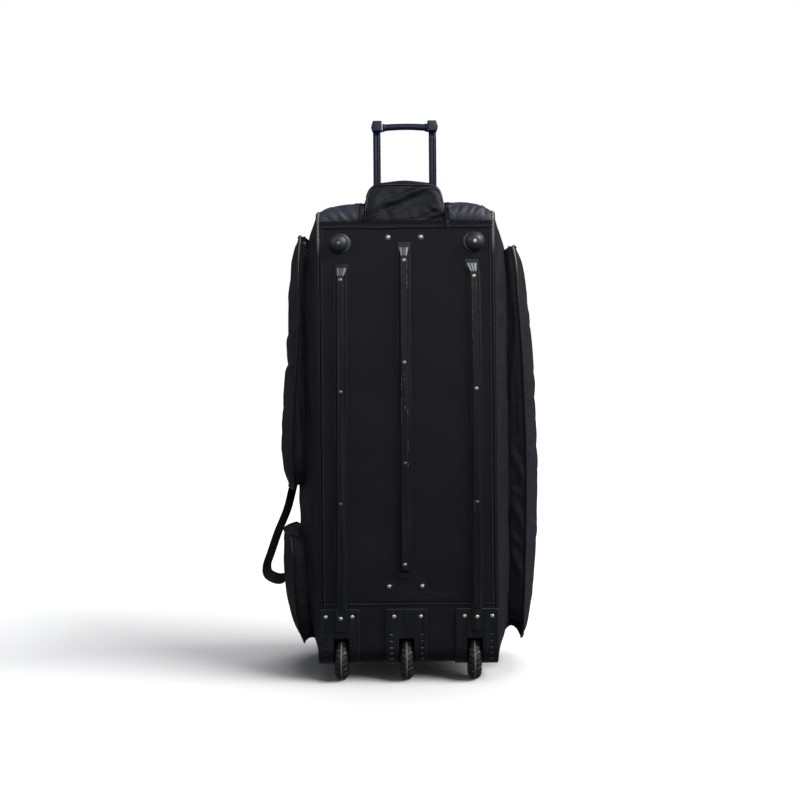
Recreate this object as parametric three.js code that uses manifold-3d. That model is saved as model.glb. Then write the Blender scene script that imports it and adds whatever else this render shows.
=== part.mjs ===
// A tall wheeled coffin bag for sports kit, standing on end on its three wheels.
// Millimetres. X runs to the viewer's right, Y from the base panel back to the lid, Z up.
// The floor is z = 0 and the outer face of the base panel is y = 0 until the last lines centre the bag.
import * as THREE from "three";
import { mergeVertices } from "three/addons/utils/BufferGeometryUtils.js";
import Module from "manifold-3d";

const wasm = await Module();
wasm.setup();

// Clearance between pieces that touch on the real bag.
const seat = 0.4;

// Sewn shell: outer box of the bag, its seams, walls and swells.
const shell = {
  halfWidth: 190,
  depth: 360,
  bottom: 36,
  top: 1026,
  upperSeam: 1000,
  lowerSeam: 173,
  cloth: 2,
  board: 3,
  frontTopRadius: 26,
  frontBottomRadius: 38,
  backRadius: 50,
  sideEdge: 195,
  sideBulge: 54,
  topCrown: 27,
  lidCrown: 18,
};
const piping = { radius: 3, sides: 6 };
const panelEdge = shell.halfWidth - piping.radius - seat;

// Zip band on the lid.
const lidZip = { halfWidth: 158, low: 112, high: 950, radius: 45, band: 22, thickness: 2 };

// Pockets: a row for each cross-section from top to bottom.
// front and back are where the gusset meets the side panel, rise is how far the gusset stands out.
const pockets = [
  {
    name: "pocket_left_upper",
    side: -1,
    rows: [
      { z: 984, front: 84, back: 276, rise: 0 },
      { z: 979, front: 80, back: 280, rise: 24 },
      { z: 950, front: 60, back: 300, rise: 22 },
      { z: 880, front: 50, back: 310, rise: 20 },
      { z: 780, front: 48, back: 312, rise: 18 },
      { z: 660, front: 48, back: 312, rise: 26 },
      { z: 530, front: 48, back: 312, rise: 35 },
      { z: 466, front: 50, back: 310, rise: 33 },
      { z: 430, front: 60, back: 300, rise: 28 },
      { z: 413, front: 80, back: 280, rise: 18 },
      { z: 409, front: 84, back: 276, rise: 0 },
    ],
  },
  {
    name: "pocket_left_lower",
    side: -1,
    rows: [
      { z: 314, front: 84, back: 276, rise: 0 },
      { z: 310, front: 80, back: 280, rise: 26 },
      { z: 290, front: 58, back: 302, rise: 33 },
      { z: 180, front: 50, back: 310, rise: 35 },
      { z: 112, front: 54, back: 306, rise: 32 },
      { z: 84, front: 66, back: 292, rise: 27 },
      { z: 66, front: 88, back: 276, rise: 19 },
      { z: 61, front: 92, back: 272, rise: 0 },
    ],
  },
  {
    name: "pocket_right",
    side: 1,
    rows: [
      { z: 958, front: 84, back: 276, rise: 0 },
      { z: 953, front: 80, back: 280, rise: 22 },
      { z: 930, front: 60, back: 300, rise: 28 },
      { z: 840, front: 50, back: 310, rise: 29 },
      { z: 690, front: 48, back: 312, rise: 39 },
      { z: 500, front: 48, back: 312, rise: 45 },
      { z: 370, front: 48, back: 312, rise: 44 },
      { z: 230, front: 50, back: 310, rise: 40 },
      { z: 130, front: 58, back: 306, rise: 40 },
      { z: 90, front: 84, back: 294, rise: 45 },
      { z: 68, front: 116, back: 276, rise: 48 },
      { z: 63, front: 122, back: 270, rise: 0 },
    ],
  },
];
// Cross-section of a pocket: share of the way across, and share of the rise reached there.
const pocketColumns = [
  { across: 0, lift: 0 },
  { across: 0.025, lift: 0.9 },
  { across: 0.22, lift: 1.05 },
  { across: 0.5, lift: 1.1 },
  { across: 0.78, lift: 1.05 },
  { across: 0.975, lift: 0.9 },
  { across: 1, lift: 0 },
];

// Carry strap on the left side: centre line from the foot of the upper pocket,
// then the lap sewn to the lower one.
const strap = { width: 28, thickness: 2.2, steps: 20, lean: 0.5, leanEnd: 0.8, lapGap: 0.7 };
const strapPoints = [
  { x: -265, y: 190, z: 407.4 },
  { x: -280, y: 196, z: 352 },
  { x: -302, y: 204, z: 300 },
  { x: -320, y: 212, z: 250 },
  { x: -331, y: 218, z: 217 },
  { x: -329, y: 221, z: 199 },
  { x: -315, y: 225, z: 188 },
  { x: -299, y: 229, z: 185 },
];
const strapLap = [
  { y: 231, z: 200 },
  { y: 232, z: 226 },
];

// Pull handle: tubes, corner blocks, grip, and the hidden frame they slide in.
const handle = {
  y: 26,
  tubeX: 61,
  tubeWidth: 16.5,
  tubeDepth: 12,
  tubeWall: 1.4,
  tubeBottom: 640,
  blockBottom: 1201,
  blockTop: 1223.5,
  blockInner: 48,
  blockOuter: 73.5,
  gripTop: 1218,
  gripBottom: 1200,
  gripDepth: 17,
};
const frameSize = { bottom: 190, sleeveWall: 2, play: 0.7, bezelThickness: 3, bracketHeight: 42 };

// Handle hood: a row for each level, as a share of the height from the seam to the rim.
const hood = { x: -2, radius: 20, rimSide: 1072, rimFront: 1081, rimBack: 1093 };
const hoodRows = [
  { share: 0, halfWidth: 91, front: 3.2, back: 69 },
  { share: 0.25, halfWidth: 89.5, front: 1.6, back: 70 },
  { share: 0.5, halfWidth: 86.5, front: 2.4, back: 69.5 },
  { share: 0.75, halfWidth: 83, front: 5, back: 67.5 },
  { share: 1, halfWidth: 80, front: 8, back: 65 },
];

// Skid rails: a grooved hump on a flat flange, cut on the slant at its upper end.
const rail = {
  halfFlange: 15,
  flange: 2.5,
  halfBase: 11,
  halfCrest: 7,
  crest: 10,
  ramp: 21,
  halfTab: 12,
  tab: 3.4,
};
const rails = [
  { name: "rail_left", x: -145, low: 111, high: 909, rivets: [876, 631.5, 388, 140] },
  { name: "rail_centre", x: -6, low: 224, high: 956, rivets: [918.5, 694.6, 476, 256.5] },
  { name: "rail_right", x: 147, low: 112, high: 918, rivets: [884, 637, 391, 142] },
];

// Wheel housings, wheels and axles.
const housing = { plate: 3.6, top: 160, reach: 92, radius: 7, wellTop: 97, wellBack: 76, wall: 2.2 };
const wheel = { radius: 44, y: 26, halfTyre: 14.5, halfHub: 16, bore: 4.4, play: 0.5, segments: 16 };
const axle = { radius: 4, halfLength: 18.4 };
const vent = { halfWidth: 5, height: 3.4, depth: 1.3, levels: [106.5, 92, 78, 65, 52] };
const corners = [
  { name: "left", x: -147, left: -197, right: -107, vents: [-182], rivets: [-181, -123] },
  { name: "centre", x: -5, left: -51, right: 40, vents: [-38, 28], rivets: [-32, 26] },
  { name: "right", x: 143, left: 101, right: 195, vents: [180], rivets: [121, 181] },
];
const housingRivetHeight = 143;

// Domed feet near the top of the base panel: the dome sits off the middle of its flange.
const bumper = { flangeRadius: 23.5, flange: 3.5, domeRadius: 19.5, dome: 19, offX: 4, offZ: 3 };
const bumpers = [
  { name: "bumper_foot_left", x: -141, z: 954, way: -1 },
  { name: "bumper_foot_right", x: 146, z: 956, way: 1 },
];

// Plain feet under the lid side, and the rivet heads.
const standFoot = { x: 125, y: 287, halfWidth: 36, halfDepth: 18, radius: 10 };
const rivet = { radius: 4.6, height: 2.4, segments: 8 };
const frameBolts = [
  { x: -38, z: 967 },
  { x: 33, z: 967 },
  { x: -42, z: 208 },
  { x: 30, z: 208 },
];

const axisX = new THREE.Vector3(1, 0, 0);
const axisY = new THREE.Vector3(0, 1, 0);
const axisZ = new THREE.Vector3(0, 0, 1);

const looks = {
  cloth: { color: "#1c1d21", roughness: 0.8, metalness: 0 },
  board: { color: "#18191d", roughness: 0.7, metalness: 0 },
  plastic: { color: "#141519", roughness: 0.45, metalness: 0 },
  rubber: { color: "#151515", roughness: 0.85, metalness: 0 },
  paint: { color: "#10131a", roughness: 0.3, metalness: 0.2 },
  steel: { color: "#b4b7bb", roughness: 0.35, metalness: 1 },
};

const bag = new THREE.Group();
bag.name = "coffin_bag";

function addPiece(name, geometry, look, parent = bag) {
  const mesh = new THREE.Mesh(geometry, new THREE.MeshStandardMaterial(looks[look]));
  mesh.name = name;
  parent.add(mesh);
  return mesh;
}

// Geometry from points and triangles, turned to face outwards.
function closedGeometry(points, triangles) {
  const volume = triangles.reduce(
    (sum, [a, b, c]) => sum + points[a].dot(points[b].clone().cross(points[c])),
    0,
  );
  const faces = volume < 0 ? triangles.map(([a, b, c]) => [a, c, b]) : triangles;
  const geometry = new THREE.BufferGeometry();
  const numbers = points.flatMap((point) => point.toArray());
  geometry.setAttribute("position", new THREE.Float32BufferAttribute(numbers, 3));
  geometry.setIndex(faces.flat());
  geometry.computeVertexNormals();
  return geometry;
}

function toSolid(geometry) {
  const bare = new THREE.BufferGeometry();
  bare.setAttribute("position", geometry.getAttribute("position"));
  bare.setIndex(geometry.index);
  const merged = mergeVertices(bare, 1e-3);
  return new wasm.Manifold(
    new wasm.Mesh({
      numProp: 3,
      vertProperties: merged.getAttribute("position").array,
      triVerts: new Uint32Array(merged.index.array),
    }),
  );
}

function toGeometry(solid) {
  const mesh = solid.getMesh();
  const geometry = new THREE.BufferGeometry();
  geometry.setAttribute("position", new THREE.BufferAttribute(mesh.vertProperties, 3));
  geometry.setIndex(new THREE.BufferAttribute(mesh.triVerts, 1));
  geometry.computeVertexNormals();
  return geometry;
}

// Wall of even thickness behind a grid of outer points, growing towards the inside point.
function gridWall(grid, thickness, inside, loop = false) {
  const rows = grid.length;
  const columns = grid[0].length;
  const around = (c) => (loop ? (c + columns) % columns : Math.min(Math.max(c, 0), columns - 1));
  const normals = grid.map((row, r) =>
    row.map((point, c) => {
      const down = grid[Math.min(r + 1, rows - 1)][c].clone().sub(grid[Math.max(r - 1, 0)][c]);
      const across = row[around(c + 1)].clone().sub(row[around(c - 1)]);
      return down.cross(across).normalize();
    }),
  );
  let agree = 0;
  grid.forEach((row, r) =>
    row.forEach((point, c) => {
      agree += normals[r][c].dot(inside.clone().sub(point));
    }),
  );
  const way = agree > 0 ? thickness : -thickness;
  const outer = grid.flat();
  const inner = outer.map((point, i) => point.clone().addScaledVector(normals.flat()[i], way));
  const offset = outer.length;
  const triangles = [];
  const quad = (a, b, c, d) => triangles.push([a, b, c], [a, c, d]);
  const lastColumn = loop ? columns : columns - 1;
  for (let r = 0; r < rows - 1; r += 1) {
    for (let c = 0; c < lastColumn; c += 1) {
      const next = around(c + 1);
      const corner = [r * columns + c, (r + 1) * columns + c, (r + 1) * columns + next, r * columns + next];
      const back = corner.map((index) => index + offset);
      quad(...corner);
      quad(back[0], back[3], back[2], back[1]);
      if (!loop && c === 0) quad(corner[1], corner[0], back[0], back[1]);
      if (r === rows - 2) quad(corner[2], corner[1], back[1], back[2]);
      if (!loop && c === lastColumn - 1) quad(corner[3], corner[2], back[2], back[3]);
      if (r === 0) quad(corner[0], corner[3], back[3], back[0]);
    }
  }
  return closedGeometry([...outer, ...inner], triangles);
}

// Solid swept through frames, each a point with two directions for the section's own axes.
function sweep(frames, section, loop = false) {
  const size = section.length;
  const points = frames.flatMap(({ point, along, up }) =>
    section.map(([u, v]) => point.clone().addScaledVector(along, u).addScaledVector(up, v)),
  );
  const triangles = [];
  const rings = loop ? frames.length : frames.length - 1;
  for (let i = 0; i < rings; i += 1) {
    const next = (i + 1) % frames.length;
    for (let j = 0; j < size; j += 1) {
      const k = (j + 1) % size;
      triangles.push([i * size + j, i * size + k, next * size + k]);
      triangles.push([i * size + j, next * size + k, next * size + j]);
    }
  }
  if (!loop) {
    const last = (frames.length - 1) * size;
    for (let j = 1; j < size - 1; j += 1) {
      triangles.push([0, j + 1, j], [last, last + j, last + j + 1]);
    }
  }
  return closedGeometry(points, triangles);
}

function circleSection(radius, sides) {
  return Array.from({ length: sides }, (_, i) => {
    const turn = ((i + 0.5) * 2 * Math.PI) / sides;
    return [radius * Math.cos(turn), radius * Math.sin(turn)];
  });
}

function roundedShape(left, right, low, high, radius) {
  const shape = new THREE.Shape();
  shape.absarc(right - radius, low + radius, radius, -Math.PI / 2, 0);
  shape.absarc(right - radius, high - radius, radius, 0, Math.PI / 2);
  shape.absarc(left + radius, high - radius, radius, Math.PI / 2, Math.PI);
  shape.absarc(left + radius, low + radius, radius, Math.PI, (3 * Math.PI) / 2);
  shape.closePath();
  return shape;
}

function shapeOf(points) {
  return new THREE.Shape(points.map(([u, v]) => new THREE.Vector2(u, v)));
}

function extruded(shape, depth, curveSegments = 2) {
  return new THREE.ExtrudeGeometry(shape, { depth, bevelEnabled: false, curveSegments });
}

// Plan shape pulled up from one height to another.
function upright(shape, low, high) {
  return extruded(shape, high - low).translate(0, 0, low);
}

// Side profile in Y and Z pulled along X.
function alongX(shape, left, right, curveSegments) {
  const turn = new THREE.Matrix4().makeBasis(axisY, axisZ, axisX);
  return extruded(shape, right - left, curveSegments).applyMatrix4(turn).translate(left, 0, 0);
}

// Front view in X and Z pulled towards the viewer from y = back.
function forward(shape, back, depth) {
  const turn = new THREE.Matrix4().makeBasis(axisX, axisZ, axisY.clone().negate());
  return extruded(shape, depth).applyMatrix4(turn).translate(0, back, 0);
}

function block(left, right, front, back, low, high) {
  return new THREE.BoxGeometry(right - left, back - front, high - low).translate(
    (left + right) / 2,
    (front + back) / 2,
    (low + high) / 2,
  );
}

// Swell of a side panel: nothing at its edge, most at mid depth and mid height.
function sideX(y, z) {
  const across = (2 * y) / shell.depth - 1;
  const up = (2 * z - shell.top - shell.bottom) / (shell.top - shell.bottom);
  return shell.sideEdge + shell.sideBulge * (1 - across ** 2) * (1 - up ** 6);
}

function cornerRetreat(radius, intoCorner, inset) {
  if (intoCorner <= 0) return inset;
  const small = radius - inset;
  return radius - Math.sqrt(Math.max(small ** 2 - intoCorner ** 2, 0));
}

// Front and back edge of a side panel at one height.
function sideSpan(z, inset) {
  const above = (radius) => cornerRetreat(radius, z - shell.top + radius, inset);
  const below = (radius) => cornerRetreat(radius, shell.bottom + radius - z, inset);
  return {
    front: Math.max(above(shell.frontTopRadius), below(shell.frontBottomRadius)),
    back: shell.depth - Math.max(above(shell.backRadius), below(shell.backRadius)),
  };
}

// Outline of the bag seen from the side, as curves in Y and Z that run up the base, over and down the lid.
function outline(inset) {
  const { depth, bottom, top, frontTopRadius, frontBottomRadius, backRadius } = shell;
  const arc = (y, z, radius, from) =>
    new THREE.EllipseCurve(y, z, radius - inset, radius - inset, from, from - Math.PI / 2, true);
  const line = (y1, z1, y2, z2) => new THREE.LineCurve(new THREE.Vector2(y1, z1), new THREE.Vector2(y2, z2));
  return {
    base: line(inset, bottom + frontBottomRadius, inset, top - frontTopRadius),
    frontTop: arc(frontTopRadius, top - frontTopRadius, frontTopRadius, Math.PI),
    topEnd: line(frontTopRadius, top - inset, depth - backRadius, top - inset),
    backTop: arc(depth - backRadius, top - backRadius, backRadius, Math.PI / 2),
    lid: line(depth - inset, top - backRadius, depth - inset, bottom + backRadius),
    backBottom: arc(depth - backRadius, bottom + backRadius, backRadius, 0),
    bottomEnd: line(depth - backRadius, bottom + inset, frontBottomRadius, bottom + inset),
    frontBottom: arc(frontBottomRadius, bottom + frontBottomRadius, frontBottomRadius, -Math.PI / 2),
  };
}

// Points along the outline with the direction that faces out of the bag.
function stations(curves) {
  return curves.flatMap(({ curve, steps }, index) =>
    Array.from({ length: steps + 1 }, (_, i) => i / steps)
      .slice(index === 0 ? 0 : 1)
      .map((share) => {
        const point = curve.getPoint(share);
        const way = curve.getTangent(share);
        return { point: new THREE.Vector3(0, point.x, point.y), out: new THREE.Vector3(0, -way.y, way.x) };
      }),
  );
}

const acrossShares = [-1, -0.9, -0.78, -0.5, 0, 0.5, 0.78, 0.9, 1];
const edgeShares = [-1, 1];
const bagMiddle = new THREE.Vector3(0, shell.depth / 2, (shell.top + shell.bottom) / 2);

// Panel that follows the outline from side to side, swelling outwards by crown(along, across).
function wrapPanel(places, thickness, shares, crown) {
  const grid = places.map(({ point, out }, i) =>
    shares.map((across) =>
      point
        .clone()
        .addScaledVector(axisX, across * panelEdge)
        .addScaledVector(out, crown(i / (places.length - 1), across)),
    ),
  );
  return gridWall(grid, thickness, bagMiddle);
}

// Sewn shell.
const edge = outline(0);

addPiece(
  "base_panel",
  block(-panelEdge, panelEdge, 0, shell.board, shell.lowerSeam, shell.upperSeam),
  "board",
);

const topStations = stations([
  { curve: edge.frontTop, steps: 4 },
  { curve: edge.topEnd, steps: 6 },
  { curve: edge.backTop, steps: 4 },
]);
topStations[0].point.z += seat;
const topCrown = (along, across) =>
  shell.topCrown * (1 - across ** 4) * Math.max(Math.sin(Math.PI * along), 0) ** 1.1;
const hoodNotch = block(-91.8, 91.8, -20, hoodRows[1].back + 0.8, 990, 1100).translate(hood.x, 0, 0);
addPiece(
  "top_end_panel",
  toGeometry(
    toSolid(wrapPanel(topStations, shell.cloth, acrossShares, topCrown)).subtract(toSolid(hoodNotch)),
  ),
  "cloth",
);

function lidY(x, z) {
  const across = x / panelEdge;
  const middle = (shell.top + shell.bottom) / 2;
  const up = (z - middle) / (shell.top - shell.backRadius - middle);
  return shell.depth + shell.lidCrown * (1 - across ** 2) * (1 - up ** 4);
}
const lidStations = stations([{ curve: edge.lid, steps: 14 }]);
lidStations[0].point.z -= seat;
lidStations.at(-1).point.z += seat;
addPiece(
  "lid_panel",
  wrapPanel(lidStations, shell.cloth, acrossShares, (along, across) => {
    const z = THREE.MathUtils.lerp(shell.top - shell.backRadius, shell.bottom + shell.backRadius, along);
    return lidY(across * panelEdge, z) - shell.depth;
  }),
  "cloth",
);

const lidZipLoop = roundedShape(-lidZip.halfWidth, lidZip.halfWidth, lidZip.low, lidZip.high, lidZip.radius);
const lidZipPoints = lidZipLoop.getSpacedPoints(40).slice(0, -1);
const lidZipMiddle = new THREE.Vector2(0, (lidZip.low + lidZip.high) / 2);
const lidZipGrid = [0, 1].map((share) =>
  lidZipPoints.map((point, i) => {
    const before = lidZipPoints.at(i - 1);
    const after = lidZipPoints[(i + 1) % lidZipPoints.length];
    const inward = new THREE.Vector2(before.y - after.y, after.x - before.x).normalize();
    inward.multiplyScalar(Math.sign(inward.dot(lidZipMiddle.clone().sub(point))) || 1);
    const place = point.clone().addScaledVector(inward, share * lidZip.band);
    return new THREE.Vector3(place.x, lidY(place.x, place.y) + 2 * seat + lidZip.thickness, place.y);
  }),
);
addPiece("lid_zip", gridWall(lidZipGrid, lidZip.thickness, bagMiddle, true), "plastic");

const wheelEndStations = stations([
  { curve: edge.backBottom, steps: 5 },
  { curve: edge.bottomEnd, steps: 1 },
  { curve: edge.frontBottom, steps: 5 },
]);
wheelEndStations.push({
  point: new THREE.Vector3(0, 0, shell.lowerSeam - seat),
  out: new THREE.Vector3(0, -1, 0),
});
const wellHalf = wheel.halfHub + wheel.play + housing.wall;
const wellSpace = corners
  .map(({ x }) =>
    toSolid(
      block(
        x - wellHalf - seat,
        x + wellHalf + seat,
        -20,
        housing.wellBack + seat,
        0,
        housing.wellTop + seat,
      ),
    ),
  )
  .reduce((all, space) => all.add(space));
addPiece(
  "wheel_end_panel",
  toGeometry(toSolid(wrapPanel(wheelEndStations, shell.board, edgeShares, () => 0)).subtract(wellSpace)),
  "board",
);

// Side panels: rows by distance from the nearer end, columns by share of the depth.
const endDistances = [3, 5, 12, 25, 45, 80, 140, 230, 370];
const sideLevels = [
  ...endDistances.map((distance) => shell.bottom + distance),
  ...endDistances.map((distance) => shell.top - distance).reverse(),
];
const sideShares = [0, 0.06, 0.16, 0.32, 0.5, 0.68, 0.84, 0.94, 1];
function sideGrid(side, out) {
  return sideLevels.map((z) => {
    const { front, back } = sideSpan(z, piping.radius);
    return sideShares.map((share) => {
      const y = THREE.MathUtils.lerp(front, back, share);
      return new THREE.Vector3(side * (sideX(y, z) + out), y, z);
    });
  });
}
for (const { name, side } of [
  { name: "left", side: -1 },
  { name: "right", side: 1 },
]) {
  addPiece(`side_panel_${name}`, gridWall(sideGrid(side, 0), shell.cloth, bagMiddle), "cloth");

  const pipe = outline(piping.radius);
  const loop = stations(Object.values(pipe).map((curve) => ({ curve, steps: curve.isLineCurve ? 1 : 5 })));
  const frames = loop.slice(0, -1).map(({ point, out }) => ({
    point: point.clone().setX(side * shell.halfWidth),
    along: out,
    up: axisX,
  }));
  addPiece(`piping_${name}`, sweep(frames, circleSection(piping.radius, piping.sides), true), "plastic");
}

// Pockets.
function between(table, key, at, value) {
  const next = table.findIndex((row, i) => i > 0 && (row[key] - at) * (table[i - 1][key] - at) <= 0);
  const low = table[next - 1];
  const high = table[next];
  return THREE.MathUtils.mapLinear(at, low[key], high[key], low[value], high[value]);
}

function pocketFace(pocket, y, z) {
  const front = between(pocket.rows, "z", z, "front");
  const back = between(pocket.rows, "z", z, "back");
  const lift = between(pocketColumns, "across", (y - front) / (back - front), "lift");
  return sideX(y, z) + lift * between(pocket.rows, "z", z, "rise");
}

// Each pocket is a gusseted wall trimmed to the side panel that it is sewn to.
for (const pocket of pockets) {
  const grid = pocket.rows.map(({ z, front, back, rise }) =>
    pocketColumns.map(({ across, lift }) => {
      const y = THREE.MathUtils.lerp(front, back, across);
      return new THREE.Vector3(pocket.side * (sideX(y, z) + lift * rise), y, z);
    }),
  );
  const covered = toSolid(gridWall(sideGrid(pocket.side, seat), 3 * shell.cloth, bagMiddle));
  const bodies = toSolid(gridWall(grid, shell.cloth, bagMiddle)).subtract(covered).decompose();
  const largest = bodies.reduce((best, body) => (body.volume() > best.volume() ? body : best));
  addPiece(pocket.name, toGeometry(largest), "cloth");
}

// Carry strap: flat webbing whose width leans away from the depth direction.
const lapOut = strap.lapGap + strap.thickness / 2;
const strapLine = new THREE.CatmullRomCurve3([
  ...strapPoints.map(({ x, y, z }) => new THREE.Vector3(x, y, z)),
  ...strapLap.map(({ y, z }) => new THREE.Vector3(-pocketFace(pockets[1], y, z) - lapOut, y, z)),
]);
const strapFrames = Array.from({ length: strap.steps + 1 }, (_, i) => {
  const share = i / strap.steps;
  const way = strapLine.getTangent(share);
  const along = axisY.clone().addScaledVector(way, -axisY.dot(way)).normalize();
  along.applyAxisAngle(way, strap.lean * Math.sin(Math.PI * Math.min(share / strap.leanEnd, 1)));
  return { point: strapLine.getPoint(share), along, up: way.clone().cross(along) };
});
const halfStrap = [strap.width / 2, strap.thickness / 2];
addPiece(
  "carry_strap",
  sweep(strapFrames, [
    [-halfStrap[0], -halfStrap[1]],
    [halfStrap[0], -halfStrap[1]],
    [halfStrap[0], halfStrap[1]],
    [-halfStrap[0], halfStrap[1]],
  ]),
  "cloth",
);

// Handle hood: an open-topped wall whose rim is low at the sides and highest at the back.
const hoodBottom = shell.upperSeam + seat;
const hoodGrid = hoodRows.map(({ share, halfWidth, front, back }) =>
  roundedShape(-halfWidth, halfWidth, front, back, hood.radius)
    .getPoints(2)
    .slice(0, -1)
    .map(({ x, y }) => {
      const rimMiddle = y > (front + back) / 2 ? hood.rimBack : hood.rimFront;
      const rim = THREE.MathUtils.lerp(hood.rimSide, rimMiddle, 1 - Math.abs(x / halfWidth) ** 6);
      return new THREE.Vector3(hood.x + x, y, THREE.MathUtils.lerp(hoodBottom, rim, share));
    }),
);
addPiece("handle_hood", gridWall(hoodGrid, shell.cloth, new THREE.Vector3(0, 36, 1040), true), "cloth");

const slider = new THREE.Group();
slider.position.set(95, -6, 1019);
bag.add(slider);
addPiece("hood_zip_slider", upright(roundedShape(-6, 6, -2.5, 2.5, 2), -17, 17), "paint", slider);

// Pull handle and its frame.
const trolley = new THREE.Group();
trolley.position.set(0, handle.y, 0);
bag.add(trolley);
const tubeShape = (grow) =>
  roundedShape(
    -handle.tubeWidth / 2 - grow,
    handle.tubeWidth / 2 + grow,
    -handle.tubeDepth / 2 - grow,
    handle.tubeDepth / 2 + grow,
    3.5 + grow,
  );
const tubeSection = tubeShape(0);
tubeSection.holes.push(tubeShape(-handle.tubeWall));
for (const { name, way } of [
  { name: "left", way: -1 },
  { name: "right", way: 1 },
]) {
  const tube = addPiece(
    `handle_tube_${name}`,
    upright(tubeSection, handle.tubeBottom, handle.blockBottom - seat),
    "paint",
    trolley,
  );
  tube.position.x = way * handle.tubeX;

  const middle = (handle.blockInner + handle.blockOuter) / 2;
  const half = (handle.blockOuter - handle.blockInner) / 2;
  const blockRows = [
    { z: handle.blockBottom, outer: half, depth: 11 },
    { z: handle.blockBottom + 8, outer: half - 0.6, depth: 11 },
    { z: handle.blockTop - 3, outer: half - 1.6, depth: 10 },
    { z: handle.blockTop, outer: half - 3.6, depth: 7.5 },
  ];
  const frames = blockRows.map(({ z, outer, depth }) => ({
    point: new THREE.Vector3((half - outer) * -way * 0.6, 0, z),
    along: axisX.clone().multiplyScalar(outer),
    up: axisY.clone().multiplyScalar(depth),
  }));
  const square = roundedShape(-1, 1, -1, 1, 0.25)
    .getPoints(1)
    .slice(0, -1)
    .map(({ x, y }) => [x, y]);
  const corner = addPiece(`handle_corner_${name}`, sweep(frames, square), "paint", trolley);
  corner.position.x = way * middle;
}

const gripSteps = 8;
const gripFrames = Array.from({ length: gripSteps + 1 }, (_, i) => {
  const share = (2 * i) / gripSteps - 1;
  const rise = 1 - share ** 2;
  const high = handle.gripTop + 1.5 * rise;
  const low = handle.gripBottom + 3 * rise;
  return {
    point: new THREE.Vector3(share * (handle.blockInner - seat), 0, (high + low) / 2),
    along: axisY.clone().multiplyScalar(handle.gripDepth / 2),
    up: axisZ.clone().multiplyScalar((high - low) / 2),
  };
});
addPiece("handle_grip", sweep(gripFrames, circleSection(1, 12)), "paint", trolley);

const sleeveOuter = tubeShape(frameSize.play + frameSize.sleeveWall);
const sleeveInner = tubeShape(frameSize.play);
const sleeves = [-handle.tubeX, handle.tubeX];
const bezelTop = shell.upperSeam + frameSize.bezelThickness;
const bracketBack = handle.y - handle.tubeDepth / 2;
const bracket = (low) =>
  toSolid(
    block(
      -handle.tubeX - 8,
      handle.tubeX + 8,
      shell.board + seat,
      bracketBack,
      low,
      low + frameSize.bracketHeight,
    ),
  );
let frameSolid = toSolid(
  upright(roundedShape(hood.x - 88, hood.x + 88, 6, 66, 18), shell.upperSeam, bezelTop),
);
for (const x of sleeves) {
  frameSolid = frameSolid.add(
    toSolid(upright(sleeveOuter, frameSize.bottom, bezelTop - 0.5).translate(x, handle.y, 0)),
  );
}
frameSolid = frameSolid.add(bracket(frameSize.bottom)).add(bracket(948));
for (const x of sleeves) {
  frameSolid = frameSolid.subtract(
    toSolid(upright(sleeveInner, frameSize.bottom - 5, bezelTop + 5).translate(x, handle.y, 0)),
  );
}
addPiece("trolley_frame", toGeometry(frameSolid), "plastic");

// Rivet heads, facing the viewer from the surface that they hold.
const rivetProfile = [
  [0, 0],
  [rivet.radius, 0],
  [rivet.radius * 0.7, rivet.height * 0.8],
  [0, rivet.height],
].map(([r, h]) => new THREE.Vector2(r, h));
function addRivet(name, x, surface, z) {
  const head = addPiece(name, new THREE.LatheGeometry(rivetProfile, rivet.segments), "steel");
  head.rotation.x = Math.PI;
  head.position.set(x, surface - seat, z);
}
frameBolts.forEach(({ x, z }, i) => addRivet(`frame_bolt_${i + 1}`, x, 0, z));

// Skid rails.
const housingFace = -seat - housing.plate;
for (const { name, x, low, high, rivets } of rails) {
  const overHousing = low < housing.top;
  const runLow = overHousing ? housing.top + seat : low;
  const root = -seat - rail.flange;
  const crest = -seat - rail.crest;
  const groove = crest + 1.2;
  const hump = shapeOf([
    [-rail.halfBase, -seat - 1],
    [-rail.halfBase, root],
    [-rail.halfCrest, crest],
    [-3.8, crest],
    [-3.4, groove],
    [-1.8, groove],
    [-1.4, crest],
    [1.4, crest],
    [1.8, groove],
    [3.4, groove],
    [3.8, crest],
    [rail.halfCrest, crest],
    [rail.halfBase, root],
    [rail.halfBase, -seat - 1],
  ]);
  const rampTop = high - 8;
  const rampLow = rampTop - rail.ramp;
  const slant = shapeOf([
    [root, rampTop],
    [root, high + 5],
    [crest - 3, high + 5],
    [crest - 3, rampLow - (3 * rail.ramp) / (root - crest)],
  ]);
  const flange = forward(
    roundedShape(-rail.halfFlange, rail.halfFlange, runLow, high, 5),
    -seat,
    rail.flange,
  );
  let solid = toSolid(flange)
    .add(toSolid(upright(hump, runLow + 2, high - 4)))
    .subtract(toSolid(alongX(slant, -30, 30)));
  if (overHousing) {
    const tab = roundedShape(-rail.halfTab, rail.halfTab, low, housing.top + 7, 4);
    solid = solid.add(toSolid(forward(tab, housingFace - seat, rail.tab)));
  }
  const piece = addPiece(name, toGeometry(solid), "plastic");
  piece.position.x = x;
  rivets.forEach((z, i) => {
    const onTab = z < housing.top;
    addRivet(`${name}_rivet_${i + 1}`, x, onTab ? housingFace - seat - rail.tab : crest, z);
  });
}

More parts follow.
